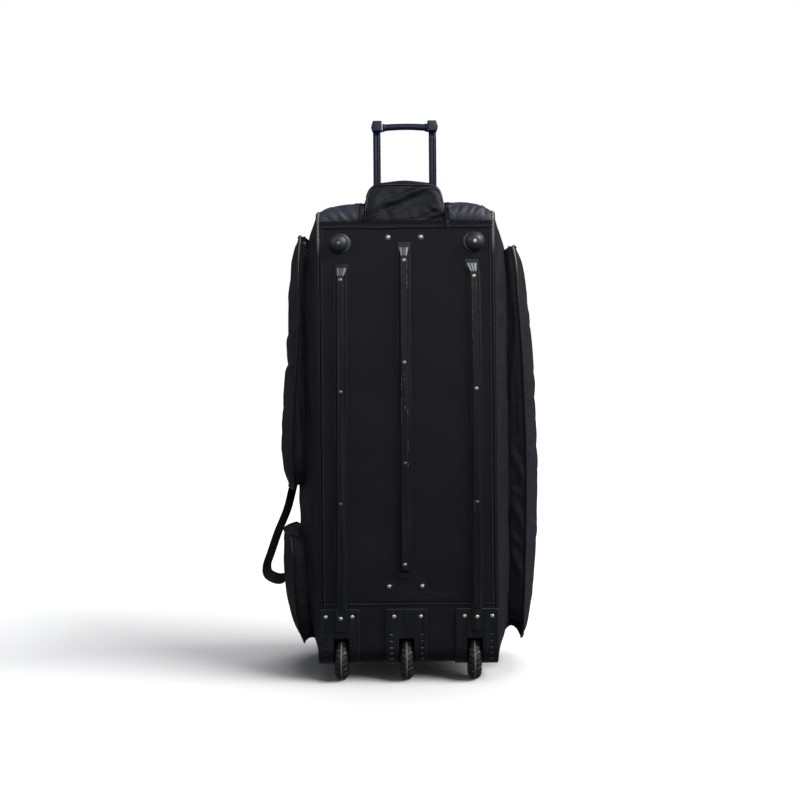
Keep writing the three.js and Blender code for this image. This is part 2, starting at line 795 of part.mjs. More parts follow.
// Domed feet.
for (const { name, x, z, way } of bumpers) {
  const flangeProfile = [
    [0, 0],
    [bumper.flangeRadius, 0],
    [bumper.flangeRadius, bumper.flange - 1.5],
    [bumper.flangeRadius - 1.5, bumper.flange],
    [0, bumper.flange],
  ];
  const domeProfile = [
    [0, 1],
    [bumper.domeRadius, 1],
    [bumper.domeRadius, bumper.flange],
    ...[0.25, 0.5, 0.75, 0.9].map((share) => [
      bumper.domeRadius * Math.cos((share * Math.PI) / 2),
      bumper.flange + bumper.dome * Math.sin((share * Math.PI) / 2),
    ]),
    [0, bumper.flange + bumper.dome],
  ];
  const turned = (profile) =>
    new THREE.LatheGeometry(
      profile.map(([r, h]) => new THREE.Vector2(r, h)),
      16,
    ).rotateX(Math.PI);
  const dome = turned(domeProfile).translate(way * bumper.offX, 0, bumper.offZ);
  const foot = addPiece(name, toGeometry(toSolid(turned(flangeProfile)).add(toSolid(dome))), "rubber");
  foot.position.set(x, -seat, z);
}

// Wheel housings with wells, axles and wheels.
const housingArc = shell.frontBottomRadius + seat + housing.plate;
const arcZ = shell.bottom + shell.frontBottomRadius;
function plateFront(z) {
  if (z > arcZ) return housingFace;
  return shell.frontBottomRadius - Math.sqrt(housingArc ** 2 - (arcZ - z) ** 2);
}
function plateProfile(out) {
  const radius = shell.frontBottomRadius + out;
  const shape = new THREE.Shape();
  shape.moveTo(housing.reach, shell.bottom - out);
  shape.lineTo(shell.frontBottomRadius, shell.bottom - out);
  shape.absarc(shell.frontBottomRadius, arcZ, radius, -Math.PI / 2, -Math.PI, true);
  shape.lineTo(-out, housing.top);
  return shape;
}
function housingSolid({ x, left, right, vents }) {
  const skin = plateProfile(seat + housing.plate);
  const inner = plateProfile(seat).getPoints(4).reverse();
  inner.forEach(({ x: y, y: z }) => skin.lineTo(y, z));
  const frontView = roundedShape(left, right, 0, housing.top, housing.radius);
  let solid = toSolid(alongX(skin, left, right, 4)).intersect(toSolid(forward(frontView, 200, 300)));
  const well = shapeOf([
    [housing.wellBack, shell.bottom - seat - 1],
    ...plateProfile(seat + 1)
      .getPoints(4)
      .slice(1, -1)
      .map((point) => point.toArray()),
    [-seat - 1, housing.wellTop],
    [housing.wellBack, housing.wellTop],
  ]);
  solid = solid.add(toSolid(alongX(well, x - wellHalf, x + wellHalf)));
  const slotHalf = wellHalf - housing.wall;
  solid = solid.subtract(
    toSolid(
      block(
        x - slotHalf,
        x + slotHalf,
        -30,
        housing.wellBack - housing.wall,
        0,
        housing.wellTop - housing.wall,
      ),
    ),
  );
  const pinHole = new THREE.CylinderGeometry(wheel.bore, wheel.bore, 60, 12);
  pinHole.rotateZ(Math.PI / 2).translate(x, wheel.y, wheel.radius);
  solid = solid.subtract(toSolid(pinHole));
  for (const ventX of vents) {
    for (const z of vent.levels) {
      const back = plateFront(z) + vent.depth;
      const cut = block(
        ventX - vent.halfWidth,
        ventX + vent.halfWidth,
        -20,
        back,
        z - vent.height / 2,
        z + vent.height / 2,
      );
      solid = solid.subtract(toSolid(cut));
    }
  }
  return solid;
}

const tyreProfile = [
  [wheel.bore, -wheel.halfHub],
  [10, -wheel.halfHub],
  [14, -wheel.halfHub + 4.5],
  [34, -wheel.halfTyre],
  [41, -wheel.halfTyre + 3.5],
  [wheel.radius, -5],
];
const wheelProfile = [
  ...tyreProfile,
  ...tyreProfile.map(([r, h]) => [r, -h]).reverse(),
  tyreProfile[0],
].map(([r, h]) => new THREE.Vector2(r, h));
for (const corner of corners) {
  const { name, x } = corner;
  addPiece(`wheel_housing_${name}`, toGeometry(housingSolid(corner)), "plastic");
  corner.rivets.forEach((rivetX, i) =>
    addRivet(`housing_${name}_rivet_${i + 1}`, rivetX, housingFace, housingRivetHeight),
  );
  const hub = new THREE.Group();
  hub.position.set(x, wheel.y, wheel.radius);
  hub.rotation.z = Math.PI / 2;
  bag.add(hub);
  const pin = new THREE.CylinderGeometry(axle.radius, axle.radius, 2 * axle.halfLength, 10);
  addPiece(`axle_${name}`, pin, "steel", hub);
  addPiece(`wheel_${name}`, new THREE.LatheGeometry(wheelProfile, wheel.segments), "rubber", hub);
}

// Plain feet under the lid side.
for (const { name, way } of [
  { name: "left", way: -1 },
  { name: "right", way: 1 },
]) {
  const plan = roundedShape(
    -standFoot.halfWidth,
    standFoot.halfWidth,
    -standFoot.halfDepth,
    standFoot.halfDepth,
    standFoot.radius,
  );
  const foot = addPiece(`stand_foot_${name}`, upright(plan, 0, shell.bottom - seat), "plastic");
  foot.position.set(way * standFoot.x, standFoot.y, 0);
}

// Origin under the middle of the whole bag, on the floor.
const box = new THREE.Box3().setFromObject(bag, true);
bag.position.set(-(box.min.x + box.max.x) / 2, -(box.min.y + box.max.y) / 2, -box.min.z);
const part = new THREE.Group();
part.add(bag);

export default part;
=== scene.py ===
import math

import bpy
import numpy as np
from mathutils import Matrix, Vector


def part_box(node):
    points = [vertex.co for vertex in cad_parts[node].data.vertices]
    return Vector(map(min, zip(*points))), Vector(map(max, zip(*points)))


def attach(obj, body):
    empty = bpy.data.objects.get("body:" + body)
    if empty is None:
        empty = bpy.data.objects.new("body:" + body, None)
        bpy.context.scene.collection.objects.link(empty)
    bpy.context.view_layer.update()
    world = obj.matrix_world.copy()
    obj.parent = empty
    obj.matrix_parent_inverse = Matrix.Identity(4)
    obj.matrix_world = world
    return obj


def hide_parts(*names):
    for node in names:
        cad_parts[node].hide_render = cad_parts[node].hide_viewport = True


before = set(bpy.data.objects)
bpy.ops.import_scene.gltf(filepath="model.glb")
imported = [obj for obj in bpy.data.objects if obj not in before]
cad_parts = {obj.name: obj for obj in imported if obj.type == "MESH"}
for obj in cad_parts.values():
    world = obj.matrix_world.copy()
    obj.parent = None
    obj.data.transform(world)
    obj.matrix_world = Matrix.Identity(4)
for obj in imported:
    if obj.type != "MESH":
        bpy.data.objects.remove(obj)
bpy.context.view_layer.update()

# Sizes below are millimetres in the bag's own frame: x to the viewer's right, y back to the lid, z up,
# with zero in the middle of the base board, on its outer face and on the floor.
mm = 0.001
boardLow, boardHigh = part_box("base_panel")
bagOrigin = np.array([(boardLow.x + boardHigh.x) / 2, boardLow.y, 0.0])

shell = dict(
    halfWidth=190.0, panelEdge=186.6, depth=360.0, bottom=36.0, top=1026.0,
    upperSeam=1000.0, lowerSeam=173.0, frontTop=26.0, frontBottom=38.0, back=50.0,
    sideEdge=195.0, sideBulge=54.0, topCrown=23.5, lidCrown=18.0,
    cloth=2.0, board=3.0, pipe=3.0, seat=0.4,
)
bagMiddle = np.array([0.0, shell["depth"] / 2, (shell["top"] + shell["bottom"]) / 2])


# Camera

camera = dict(x=-14.0, distance=2700.0, height=732.6, lens=55.89, shift=-0.06875, roll=0.5)


def addCamera(size):
    data = bpy.data.cameras.new("camera")
    data.lens = size["lens"]
    data.shift_y = size["shift"]
    data.clip_end = 100
    made = bpy.data.objects.new("camera", data)
    made.location = bagOrigin + np.array([size["x"], -size["distance"], size["height"]]) * mm
    made.rotation_euler = (math.radians(90), math.radians(size["roll"]), 0)
    bpy.context.scene.collection.objects.link(made)
    bpy.context.scene.camera = made


addCamera(camera)


# Materials

def linear(hexText):
    # sRGB to linear light by the standard curve: a short straight foot, then a power of 2.4
    value = np.array([int(hexText[i:i + 2], 16) for i in (1, 3, 5)]) / 255
    light = np.where(value <= 0.04045, value / 12.92, ((value + 0.055) / 1.055) ** 2.4)
    return (*light.tolist(), 1.0)


def addNode(tree, kind, settings=None, inputs=None):
    made = tree.nodes.new(kind)
    for key, value in (settings or {}).items():
        setattr(made, key, value)
    for socket, value in (inputs or {}).items():
        if isinstance(value, bpy.types.NodeSocket):
            tree.links.new(value, made.inputs[socket])
        else:
            made.inputs[socket].default_value = value
    return made


def startMaterial(name, fixed):
    material = bpy.data.materials.new(name)
    material.use_nodes = True
    tree = material.node_tree
    shader = tree.nodes["Principled BSDF"]
    for socket, value in fixed.items():
        shader.inputs[socket].default_value = value
    return material, tree, shader


def mathsOf(tree, operation, *values):
    return addNode(tree, "ShaderNodeMath", {"operation": operation}, dict(enumerate(values))).outputs[0]


def noiseOf(tree, vector, size, detail, roughness=0.5):
    # patches about as large as the size in millimetres
    return addNode(tree, "ShaderNodeTexNoise", {}, {
        "Vector": vector, "Scale": 1 / (size * mm), "Detail": detail, "Roughness": roughness,
    }).outputs["Fac"]


def rangeOf(tree, value, low, high, toLow=0.0, toHigh=1.0):
    return addNode(tree, "ShaderNodeMapRange", {}, {
        "Value": value, "From Min": low, "From Max": high, "To Min": toLow, "To Max": toHigh,
    }).outputs[0]


def toneOf(tree, share, dark, light):
    return addNode(tree, "ShaderNodeMix", {"data_type": "RGBA"},
                   {"Factor": share, 6: dark, 7: light}).outputs[2]


def dustAndHighlightOf(tree):
    return addNode(tree, "ShaderNodeAttribute", {"attribute_name": "wear"}).outputs["Fac"]


def placeOf(tree):
    return addNode(tree, "ShaderNodeTexCoord").outputs["Object"]


def drawnOut(tree, vector, scale):
    return addNode(tree, "ShaderNodeMapping", {}, {"Vector": vector, "Scale": scale}).outputs[0]


def connect(tree, shader, tone, gloss, height, relief, depth):
    bump = addNode(tree, "ShaderNodeBump", {}, {"Strength": relief, "Distance": depth * mm, "Height": height})
    for socket, value in (("Base Color", tone), ("Roughness", gloss), ("Normal", bump.outputs[0])):
        tree.links.new(value, shader.inputs[socket])


def wovenCloth(look):
    # Height is a plain weave, the product of two sines of the cloth's own width and length,
    # under streaks drawn out along both thread directions. The streaks also shift colour and gloss.
    material, tree, shader = startMaterial(look["name"], {
        "Specular IOR Level": look["specular"], "Sheen Weight": look["sheen"], "Sheen Roughness": 0.45,
        "Sheen Tint": linear("#c8ccd6"), "IOR": 1.5,
    })
    uv = addNode(tree, "ShaderNodeUVMap", {"uv_map": "clothUv"}).outputs[0]
    turns = addNode(tree, "ShaderNodeVectorMath", {"operation": "SCALE"},
                    {0: uv, "Scale": 2 * math.pi / (look["thread"] * mm)})
    split = addNode(tree, "ShaderNodeSeparateXYZ", {}, {0: turns.outputs[0]})
    weave = mathsOf(tree, "MULTIPLY", *(mathsOf(tree, "SINE", split.outputs[i]) for i in (0, 1)))
    streaks = [noiseOf(tree, drawnOut(tree, uv, long), look["slub"], 2.0)
               for long in ((1, 0.07, 1), (0.07, 1, 1))]
    slub = mathsOf(tree, "ADD", *streaks)
    mottle = mathsOf(tree, "MULTIPLY_ADD", noiseOf(tree, placeOf(tree), look["cloud"], 3.0), 0.8, slub)
    tone = toneOf(tree, rangeOf(tree, mottle, 1.05, 1.75), linear(look["dark"]), linear(look["light"]))
    gloss = rangeOf(tree, mottle, 1.0, 1.8, look["rough"] - 0.07, look["rough"] + 0.07)
    height = mathsOf(tree, "MULTIPLY_ADD", slub, look["streak"], weave)
    connect(tree, shader, tone, gloss, height, look["relief"], 0.12 * look["thread"])
    return material


def mouldedFinish(look):
    # Height is a fine mould grain plus long scuffs; scuffs also lift the colour and dull the gloss.
    material, tree, shader = startMaterial(look["name"], {
        "Specular IOR Level": look.get("specular", 0.5), "Metallic": look.get("metal", 0.0),
    })
    place = placeOf(tree)
    grain = noiseOf(tree, place, look["grain"], 2.0)
    scuff = noiseOf(tree, drawnOut(tree, place, look.get("scuffWay", (1, 1, 1))), look["scuff"], 4.0, 0.62)
    wornAndHighlight = rangeOf(tree, scuff, 0.5, 0.78)
    tone = toneOf(tree, wornAndHighlight, linear(look["dark"]), linear(look["light"]))
    if "paintedTone" in look:
        # the piece's own attribute brings in a second colour: on plastic a pale one, painted highlight on the
        # rail fans and vent lips and streaks on the rails; on plated steel a brown-grey one
        tone = toneOf(tree, dustAndHighlightOf(tree), tone, linear(look["paintedTone"]))
    gloss = rangeOf(tree, scuff, 0.3, 0.75, look["rough"] - 0.06, look["rough"] + 0.1)
    height = mathsOf(tree, "MULTIPLY_ADD", wornAndHighlight, -0.6, grain)
    connect(tree, shader, tone, gloss, height, look["relief"], 0.1 * look["grain"])
    return material


def dustAndHighlightFinish(look):
    # The piece's own attribute mixes a pale colour into a black one, broken up by a fine grain: dust on the
    # tyre, painted highlight on the piping.
    material, tree, shader = startMaterial(look["name"], {"Specular IOR Level": look["specular"]})
    grain = noiseOf(tree, placeOf(tree), look["grain"], 4.0, 0.65)
    share = addNode(tree, "ShaderNodeMath", {"operation": "MULTIPLY", "use_clamp": True},
                    {0: dustAndHighlightOf(tree), 1: rangeOf(tree, grain, 0.34, 0.62)}).outputs[0]
    tone = toneOf(tree, share, linear(look["dark"]), linear(look["light"]))
    gloss = rangeOf(tree, share, 0.0, 1.0, look["rough"], 0.8)
    connect(tree, shader, tone, gloss, grain, 0.3, 0.3 * look["grain"])
    return material


# Polyurethane-coated polyester, woven: a soft dull black with a grey bloom at grazing angles.
# Its real threads are 0.6 mm apart and are drawn three times as coarse so that they show.
coatedCloth = wovenCloth(dict(
    name="coatedPolyester", dark="#0c0c11", light="#16161d", thread=1.8, slub=2.6, cloud=90.0,
    rough=0.54, specular=0.14, sheen=0.02, relief=0.55, streak=0.9,
))
# Vinyl-coated polyester over board: flatter and a little smoother than the side cloth.
boardCloth = wovenCloth(dict(
    name="coveredBoard", dark="#0b0a10", light="#131219", thread=1.5, slub=2.2, cloud=140.0,
    rough=0.58, specular=0.11, sheen=0.01, relief=0.35, streak=0.8,
))
# Brushed nylon of the handle hood: fine threads and a soft dull sheen over its folds.
hoodCloth = wovenCloth(dict(
    name="brushedNylon", dark="#0a0b11", light="#14151d", thread=1.2, slub=1.8, cloud=60.0,
    rough=0.5, specular=0.15, sheen=0.01, relief=0.35, streak=0.6,
))
# Satin nylon of the top end: the same threads pressed smooth, with a silky gloss over its folds; its colour
# is painted lighter than the other cloths, as painted light falling on the top.
topClothPaintedLight = wovenCloth(dict(
    name="satinNylonPaintedLight", dark="#1b1b25", light="#282935", thread=1.2, slub=1.8, cloud=60.0,
    rough=0.5, specular=0.3, sheen=0.09, relief=0.35, streak=0.6,
))
# Polypropylene webbing: coarse ribs that run across the strap.
strapWebbing = wovenCloth(dict(
    name="ribbedWebbing", dark="#131519", light="#212329", thread=2.6, slub=2.0, cloud=50.0,
    rough=0.62, specular=0.14, sheen=0.01, relief=0.9, streak=0.5,
))
# Moulded polypropylene: black with a mould grain and long slightly paler scuffs from dragging; its pale
# blue-grey second colour is painted highlight on the rail fans and vent lips, and pale streaks along the
# rails.
# The real grain is about 0.5 mm and is drawn five times as coarse, because a finer one only turns to noise.
mouldedPlastic = mouldedFinish(dict(
    name="mouldedPolypropylene", dark="#0d0e12", light="#18191e", paintedTone="#8e95a3", grain=2.4, scuff=9.0,
    scuffWay=(1.0, 1.0, 0.06), rough=0.4, relief=0.08, specular=0.22,
))
# Gloss enamel on aluminium tube: blue-black, smooth, with faint lengthwise rubs from the sleeves.
enamelTube = mouldedFinish(dict(
    name="enamelledAluminium", dark="#0d1120", light="#171e33", grain=1.6, scuff=5.0,
    scuffWay=(1.0, 1.0, 0.08), rough=0.26, relief=0.04, specular=0.16,
))
# Polished ABS of the handle ends and grip: blue-black with soft broad highlights.
handlePlastic = mouldedFinish(dict(
    name="polishedAbs", dark="#131a2e", light="#1d2540", grain=4.0, scuff=12.0,
    rough=0.36, relief=0.02, specular=0.12,
))
# Moulded rubber of the domed feet: satin black, painted a lighter grey as a stand-in for the broad soft sheen
# on the domes.
footRubberPaintedSheen = mouldedFinish(dict(
    name="mouldedRubberPaintedSheen", dark="#1e2028", light="#2a2c35", grain=2.4, scuff=8.0,
    rough=0.46, relief=0.05, specular=0.38,
))
# Nickel-plated steel: pale and softly bright with small dull smudges, turned brown-grey by the darker share
# given to some heads.
platedSteel = mouldedFinish(dict(
    name="nickelPlatedSteel", dark="#b2afa7", light="#77756f", paintedTone="#3a3835", grain=1.5, scuff=2.0,
    rough=0.54, relief=0.06, metal=1.0,
))
# Blackened zinc of the zip sliders: dark metal, bright where rubbed.
blackZinc = mouldedFinish(dict(
    name="blackenedZinc", dark="#2a2c31", light="#6c6f76", grain=1.0, scuff=2.5,
    rough=0.42, relief=0.08, metal=1.0,
))
# Nylon zip teeth: hard and a little glossy.
zipNylon = mouldedFinish(dict(
    name="nylonTeeth", dark="#0d0e11", light="#1a1b1f", grain=0.8, scuff=3.0,
    rough=0.42, relief=0.05, specular=0.2,
))
# Polyester sewing thread: dark grey, so the stitches read against the black cloth.
sewingThread = mouldedFinish(dict(
    name="polyesterThread", dark="#1c1c23", light="#2d2d36", grain=0.5, scuff=2.0,
    rough=0.6, relief=0.2,
))
# Solid rubber tyre: black tread with pale dust on the mould line and the block tops.
tyreRubber = dustAndHighlightFinish(dict(
    name="tyreRubber", dark="#08080b", light="#8f8c85", grain=1.4, rough=0.42, specular=0.24,
))
# Extruded vinyl of the piping: smooth, slightly shiny black, with a pale painted highlight on the strand
# crests near the top corners and near the top front of two pockets' piping.
pipingVinyl = dustAndHighlightFinish(dict(
    name="extrudedVinyl", dark="#0c0d10", light="#b4b3b0", grain=1.6, rough=0.34, specular=0.3,
))
print("materials made")


# Shapes: dictionaries of points in bag millimetres, a list of face arrays,
# and the cloth's own width and length in metres at each face corner

def unit(vectors):
    return vectors / np.maximum(np.linalg.norm(vectors, axis=-1, keepdims=True), 1e-9)


def xyz(x, y, z):
    # points from three coordinates, each an array or one value for all
    return np.stack(np.broadcast_arrays(x, y, z), -1)


def smoothStep(value):
    # rises from 0 to 1 with flat ends
    share = np.clip(value, 0, 1)
    return share * share * (3 - 2 * share)


def facingOut(shape):
    # a closed shape with negative volume is inside out, so its faces are turned round
    points = shape["points"]
    volume = 0.0
    for faces in shape["faces"]:
        for i in range(1, faces.shape[1] - 1):
            a, b, c = points[faces[:, 0]], points[faces[:, i]], points[faces[:, i + 1]]
            volume += np.sum(a * np.cross(b, c))
    if volume < 0:
        shape["faces"] = [faces[:, ::-1] for faces in shape["faces"]]
        shape["uv"] = [uv[:, ::-1] for uv in shape["uv"]]
    return shape


def bare(points, faces):
    # a closed shape that shows no weave, so its cloth lengths stay at zero
    return facingOut(dict(points=points, faces=faces, uv=[np.zeros(part.shape + (2,)) for part in faces]))


def joined(shapes):
    starts = np.cumsum([0] + [len(shape["points"]) for shape in shapes])
    made = dict(
        points=np.concatenate([shape["points"] for shape in shapes]),
        faces=[faces + start for shape, start in zip(shapes, starts) for faces in shape["faces"]],
        uv=[uv for shape in shapes for uv in shape["uv"]],
    )
    if any("wear" in shape for shape in shapes):
        made["wear"] = np.concatenate([shape.get("wear", np.zeros(len(shape["points"]))) for shape in shapes])
    return made


def moved(shape, offset):
    return {**shape, "points": shape["points"] + np.asarray(offset, float)}


def ringed(grid, loop=True):
    # the first column follows the last
    return np.concatenate([grid, grid[:, :1]], 1) if loop else grid


def cellsOf(index):
    # the four corners of every cell in a grid of point numbers
    return np.stack([index[:-1, :-1], index[:-1, 1:], index[1:, 1:], index[1:, :-1]], -1).reshape(-1, 4)


def runAlong(line):
    # distance from the start of a line at each of its points
    return np.concatenate([[0], np.cumsum(np.linalg.norm(np.diff(line, axis=0), axis=1))])


def fullTurn(count):
    return np.linspace(0, 2 * np.pi, count, endpoint=False)


def between(values):
    return (values[1:] + values[:-1]) / 2


def clothLengths(grid, loop):
    # running distance along each row from its middle, and down the middle column, in metres
    ring = ringed(grid, loop)
    steps = np.linalg.norm(np.diff(ring, axis=1), axis=2)
    across = np.concatenate([np.zeros((len(ring), 1)), np.cumsum(steps, 1)], 1)
    centre = across.shape[1] // 2
    across = across - across[:, centre:centre + 1]
    down = runAlong(ring[:, centre])
    return np.stack([across, np.broadcast_to(down[:, None], across.shape)], -1) * mm


def closedBetween(outer, inner, loop=False, keep=None, wear=None):
    # two grids of the same size become the two faces of a wall; every edge of the kept cells is closed
    rows, columns = outer.shape[:2]
    keep = np.ones((rows - 1, columns if loop else columns - 1), bool) if keep is None else keep
    lengths = clothLengths(outer, loop)

    def corners(table, far):
        a, b, d, e = table[:-1, :-1], table[:-1, 1:], table[1:, :-1], table[1:, 1:]
        front = np.stack([a, b, e, d], -1)[keep]
        tall = np.pad(keep, ((1, 1), (0, 0)))
        p, q = table[:, :-1], table[:, 1:]
        walls = [
            np.stack([q, p, p + far, q + far], -1)[tall[1:] & ~tall[:-1]],
            np.stack([p, q, q + far, p + far], -1)[tall[:-1] & ~tall[1:]],
        ]
        wide = np.concatenate([keep[:, -1:], keep], 1) if loop else np.pad(keep, ((0, 0), (1, 1)))
        last = -1 if loop else None
        p, q = table[:-1, :last], table[1:, :last]
        walls += [
            np.stack([p, q, q + far, p + far], -1)[wide[:, 1:] & ~wide[:, :-1]],
            np.stack([q, p, p + far, q + far], -1)[wide[:, :-1] & ~wide[:, 1:]],
        ]
        return np.concatenate([front, front[:, ::-1] + far, *walls])

    index = ringed(np.arange(rows * columns).reshape(rows, columns), loop)
    faces = corners(index, rows * columns)
    lengthAt = np.arange(lengths[..., 0].size).reshape(lengths.shape[:2])
    uv = lengths.reshape(-1, 2)[corners(lengthAt, 0)]
    used, renumbered = np.unique(faces, return_inverse=True)
    points = np.concatenate([outer.reshape(-1, 3), inner.reshape(-1, 3)])[used]
    made = facingOut(dict(points=points, faces=[renumbered.reshape(-1, 4)], uv=[uv]))
    if wear is not None:
        made["wear"] = np.tile(np.broadcast_to(wear, outer.shape[:2]).reshape(-1), 2)[used]
    return made


def gridNormals(grid, loop=False):
    wide = np.concatenate([grid[:, -1:], grid, grid[:, :1]], 1) if loop else grid
    across = np.gradient(wide, axis=1)
    across = across[:, 1:-1] if loop else across
    return unit(np.cross(np.gradient(grid, axis=0), across))


def outNormals(grid, inside, loop=False):
    # directions out of the surface, turned away from an inside point
    normals = gridNormals(grid, loop)
    return normals * np.sign(np.sum(normals * (grid - np.asarray(inside))))


def wall(outer, thickness, inside, loop=False, keep=None):
    # the inner face is the outer one moved along its own directions towards an inside point
    return closedBetween(outer, outer - thickness * outNormals(outer, inside, loop), loop, keep)


def flatBack(outer, y):
    # a flat grid behind a grid that faces the viewer
    return xyz(outer[..., 0], y, outer[..., 2])


def cellMiddles(grid):
    return (grid[1:, 1:] + grid[:-1, :-1]) / 2


def loopOut(loop):
    # the way out of a flat loop that runs anticlockwise
    way = np.roll(loop, -1, 0) - np.roll(loop, 1, 0)
    return unit(np.stack([way[:, 1], -way[:, 0]], 1))


def tubeOf(rings, loop=False):
    # rings of points, one after another, closed at the ends or into each other
    count, sides = rings.shape[:2]
    index = ringed(np.arange(count * sides).reshape(count, sides))
    index = np.concatenate([index, index[:1]]) if loop else index
    ends = [] if loop else [np.stack([index[0, -2::-1], index[-1, :-1]])]
    return bare(rings.reshape(-1, 3), [cellsOf(index), *ends])


def pathWays(path, side, loop=False):
    # unit directions along a path, across it and towards the side given
    if loop:
        along = unit(np.roll(path, -1, 0) - np.roll(path, 1, 0))
    else:
        along = unit(np.gradient(path, axis=0))
    across = unit(np.cross(along, np.broadcast_to(side, path.shape)))
    return along, across, np.cross(across, along)


def swept(path, section, side, loop=False):
    # a section in two axes, one for all points or one for each, carried along a path
    _, across, up = pathWays(path, side, loop)
    section = np.broadcast_to(section, (len(path),) + np.shape(section)[-2:])
    rings = path[:, None] + section[..., :1] * across[:, None] + section[..., 1:] * up[:, None]
    return tubeOf(rings, loop)


def circle(radius, sides):
    turn = fullTurn(sides)
    return radius * np.stack([np.cos(turn), np.sin(turn)], 1)


def roundedLoop(left, right, low, high, radius, arcSteps=6, sideSteps=8):
    # four quarter arcs about the corners' centres, with evenly spaced points on the straight sides between
    parts = []
    corners = [(right - radius, low + radius), (right - radius, high - radius),
               (left + radius, high - radius), (left + radius, low + radius)]
    for i, (x, y) in enumerate(corners):
        turn = np.linspace(-np.pi / 2, 0, arcSteps + 1) + i * np.pi / 2
        arc = np.stack([x + radius * np.cos(turn), y + radius * np.sin(turn)], 1)
        nextX, nextY = corners[(i + 1) % 4]
        start = np.array([nextX + radius * np.cos(turn[-1]), nextY + radius * np.sin(turn[-1])])
        share = np.linspace(0, 1, sideSteps + 1)[1:-1, None]
        parts += [arc, arc[-1] + share * (start - arc[-1])]
    return np.concatenate(parts)


def turned(profile, count):
    # radius and height pairs carried round an axis that points at the viewer; poles become single points
    radius, height = np.asarray(profile, float).T
    turn = fullTurn(count)
    radius, height = radius[:, None], height[:, None]
    rings = xyz(radius * np.cos(turn), -height, radius * np.sin(turn))
    body = rings[1:-1]
    index = ringed(np.arange(body.shape[0] * count).reshape(-1, count))
    first = np.full(count, body.shape[0] * count)
    fans = np.concatenate([
        np.stack([first, index[0, 1:], index[0, :-1]], -1),
        np.stack([first + 1, index[-1, :-1], index[-1, 1:]], -1),
    ])
    points = np.concatenate([body.reshape(-1, 3), rings[0, :1], rings[-1, :1]])
    return bare(points, [cellsOf(index), fans])


def repeated(shape, places, axisA, axisB, axisC):
    # one small shape copied to every place, its own x, y and z laid along the three axes there
    local = shape["points"]
    points = (places[:, None] + local[:, :1] * axisA[:, None] + local[:, 1:2] * axisB[:, None]
              + local[:, 2:] * axisC[:, None])
    step = np.arange(len(places))[:, None, None] * len(local)
    faces = [(part + step).reshape(-1, part.shape[1]) for part in shape["faces"]]
    uv = [np.tile(part, (len(places), 1, 1)) for part in shape["uv"]]
    return dict(points=points.reshape(-1, 3), faces=faces, uv=uv)


def evenly(path, spacing, loop=False):
    # points at an even spacing along a path
    line = np.concatenate([path, path[:1]]) if loop else path
    run = runAlong(line)
    count = max(2, int(run[-1] / spacing))
    at = np.linspace(0, run[-1], count, endpoint=not loop)
    return np.stack([np.interp(at, run, line[:, i]) for i in range(3)], 1)


def ripple(u, v, seed, longest, shortest, count=12):
    # seeded sines in all directions, each as high as it is long, adding up to about one
    draw = np.random.default_rng(seed)
    total = np.zeros(np.broadcast(u, v).shape)
    for length in np.geomspace(longest, shortest, count):
        turn, phase = draw.uniform(0, np.pi), draw.uniform(0, 2 * np.pi)
        total += length / longest * np.sin((u * np.cos(turn) + v * np.sin(turn)) * 2 * np.pi / length + phase)
    return total / 2


def folded(u, v, folds):
    # each fold is a bell across its line with a shallower dip beside it, fading out at both ends
    total = np.zeros(np.broadcast(u, v).shape)
    for atU, atV, angle, half, width, height in folds:
        way = math.radians(angle)
        along = (u - atU) * math.cos(way) + (v - atV) * math.sin(way)
        off = (v - atV) * math.cos(way) - (u - atU) * math.sin(way)
        bell = np.exp(-(off / width) ** 2) - 0.55 * np.exp(-((off - 1.7 * width) / width) ** 2)
        total += height * bell * np.exp(-(along / half) ** 4)
    return total


def spaced(*stops):
    # positions joined from runs: each stop after the first gives the end and the number of steps to it
    values = [np.array([stops[0]], float)]
    for end, steps in stops[1:]:
        values.append(np.linspace(values[-1][-1], end, steps + 1)[1:])
    return np.concatenate(values)


def narrowed(distance, half, radius):
    # share of a half width that is left at a distance from an end with rounded corners
    inward = radius - np.minimum(distance, radius)
    return (half - radius + np.sqrt(np.maximum(radius ** 2 - inward ** 2, 0))) / half


def edgeDrop(distance, radius):
    # how far a rounded edge falls away at a distance from it: a quarter circle of that radius
    inward = radius - np.clip(distance, 0, radius)
    return radius - np.sqrt(np.maximum(radius ** 2 - inward ** 2, 0))


# Settled cloth: frames, weight, stiffness and how many times its movement is averaged
clothSize = dict(frames=20, mass=0.12, stretch=12.0, shear=4.0, bend=0.06, damping=12.0, average=160)


def heldEdge(grid, rows, columns):
    # marks the outer rows and columns of a grid, which are sewn down
    held = np.zeros(grid.shape[:2], bool)
    held[:rows] = held[-rows:] = True
    if columns:
        held[:, :columns] = held[:, -columns:] = True
    return held


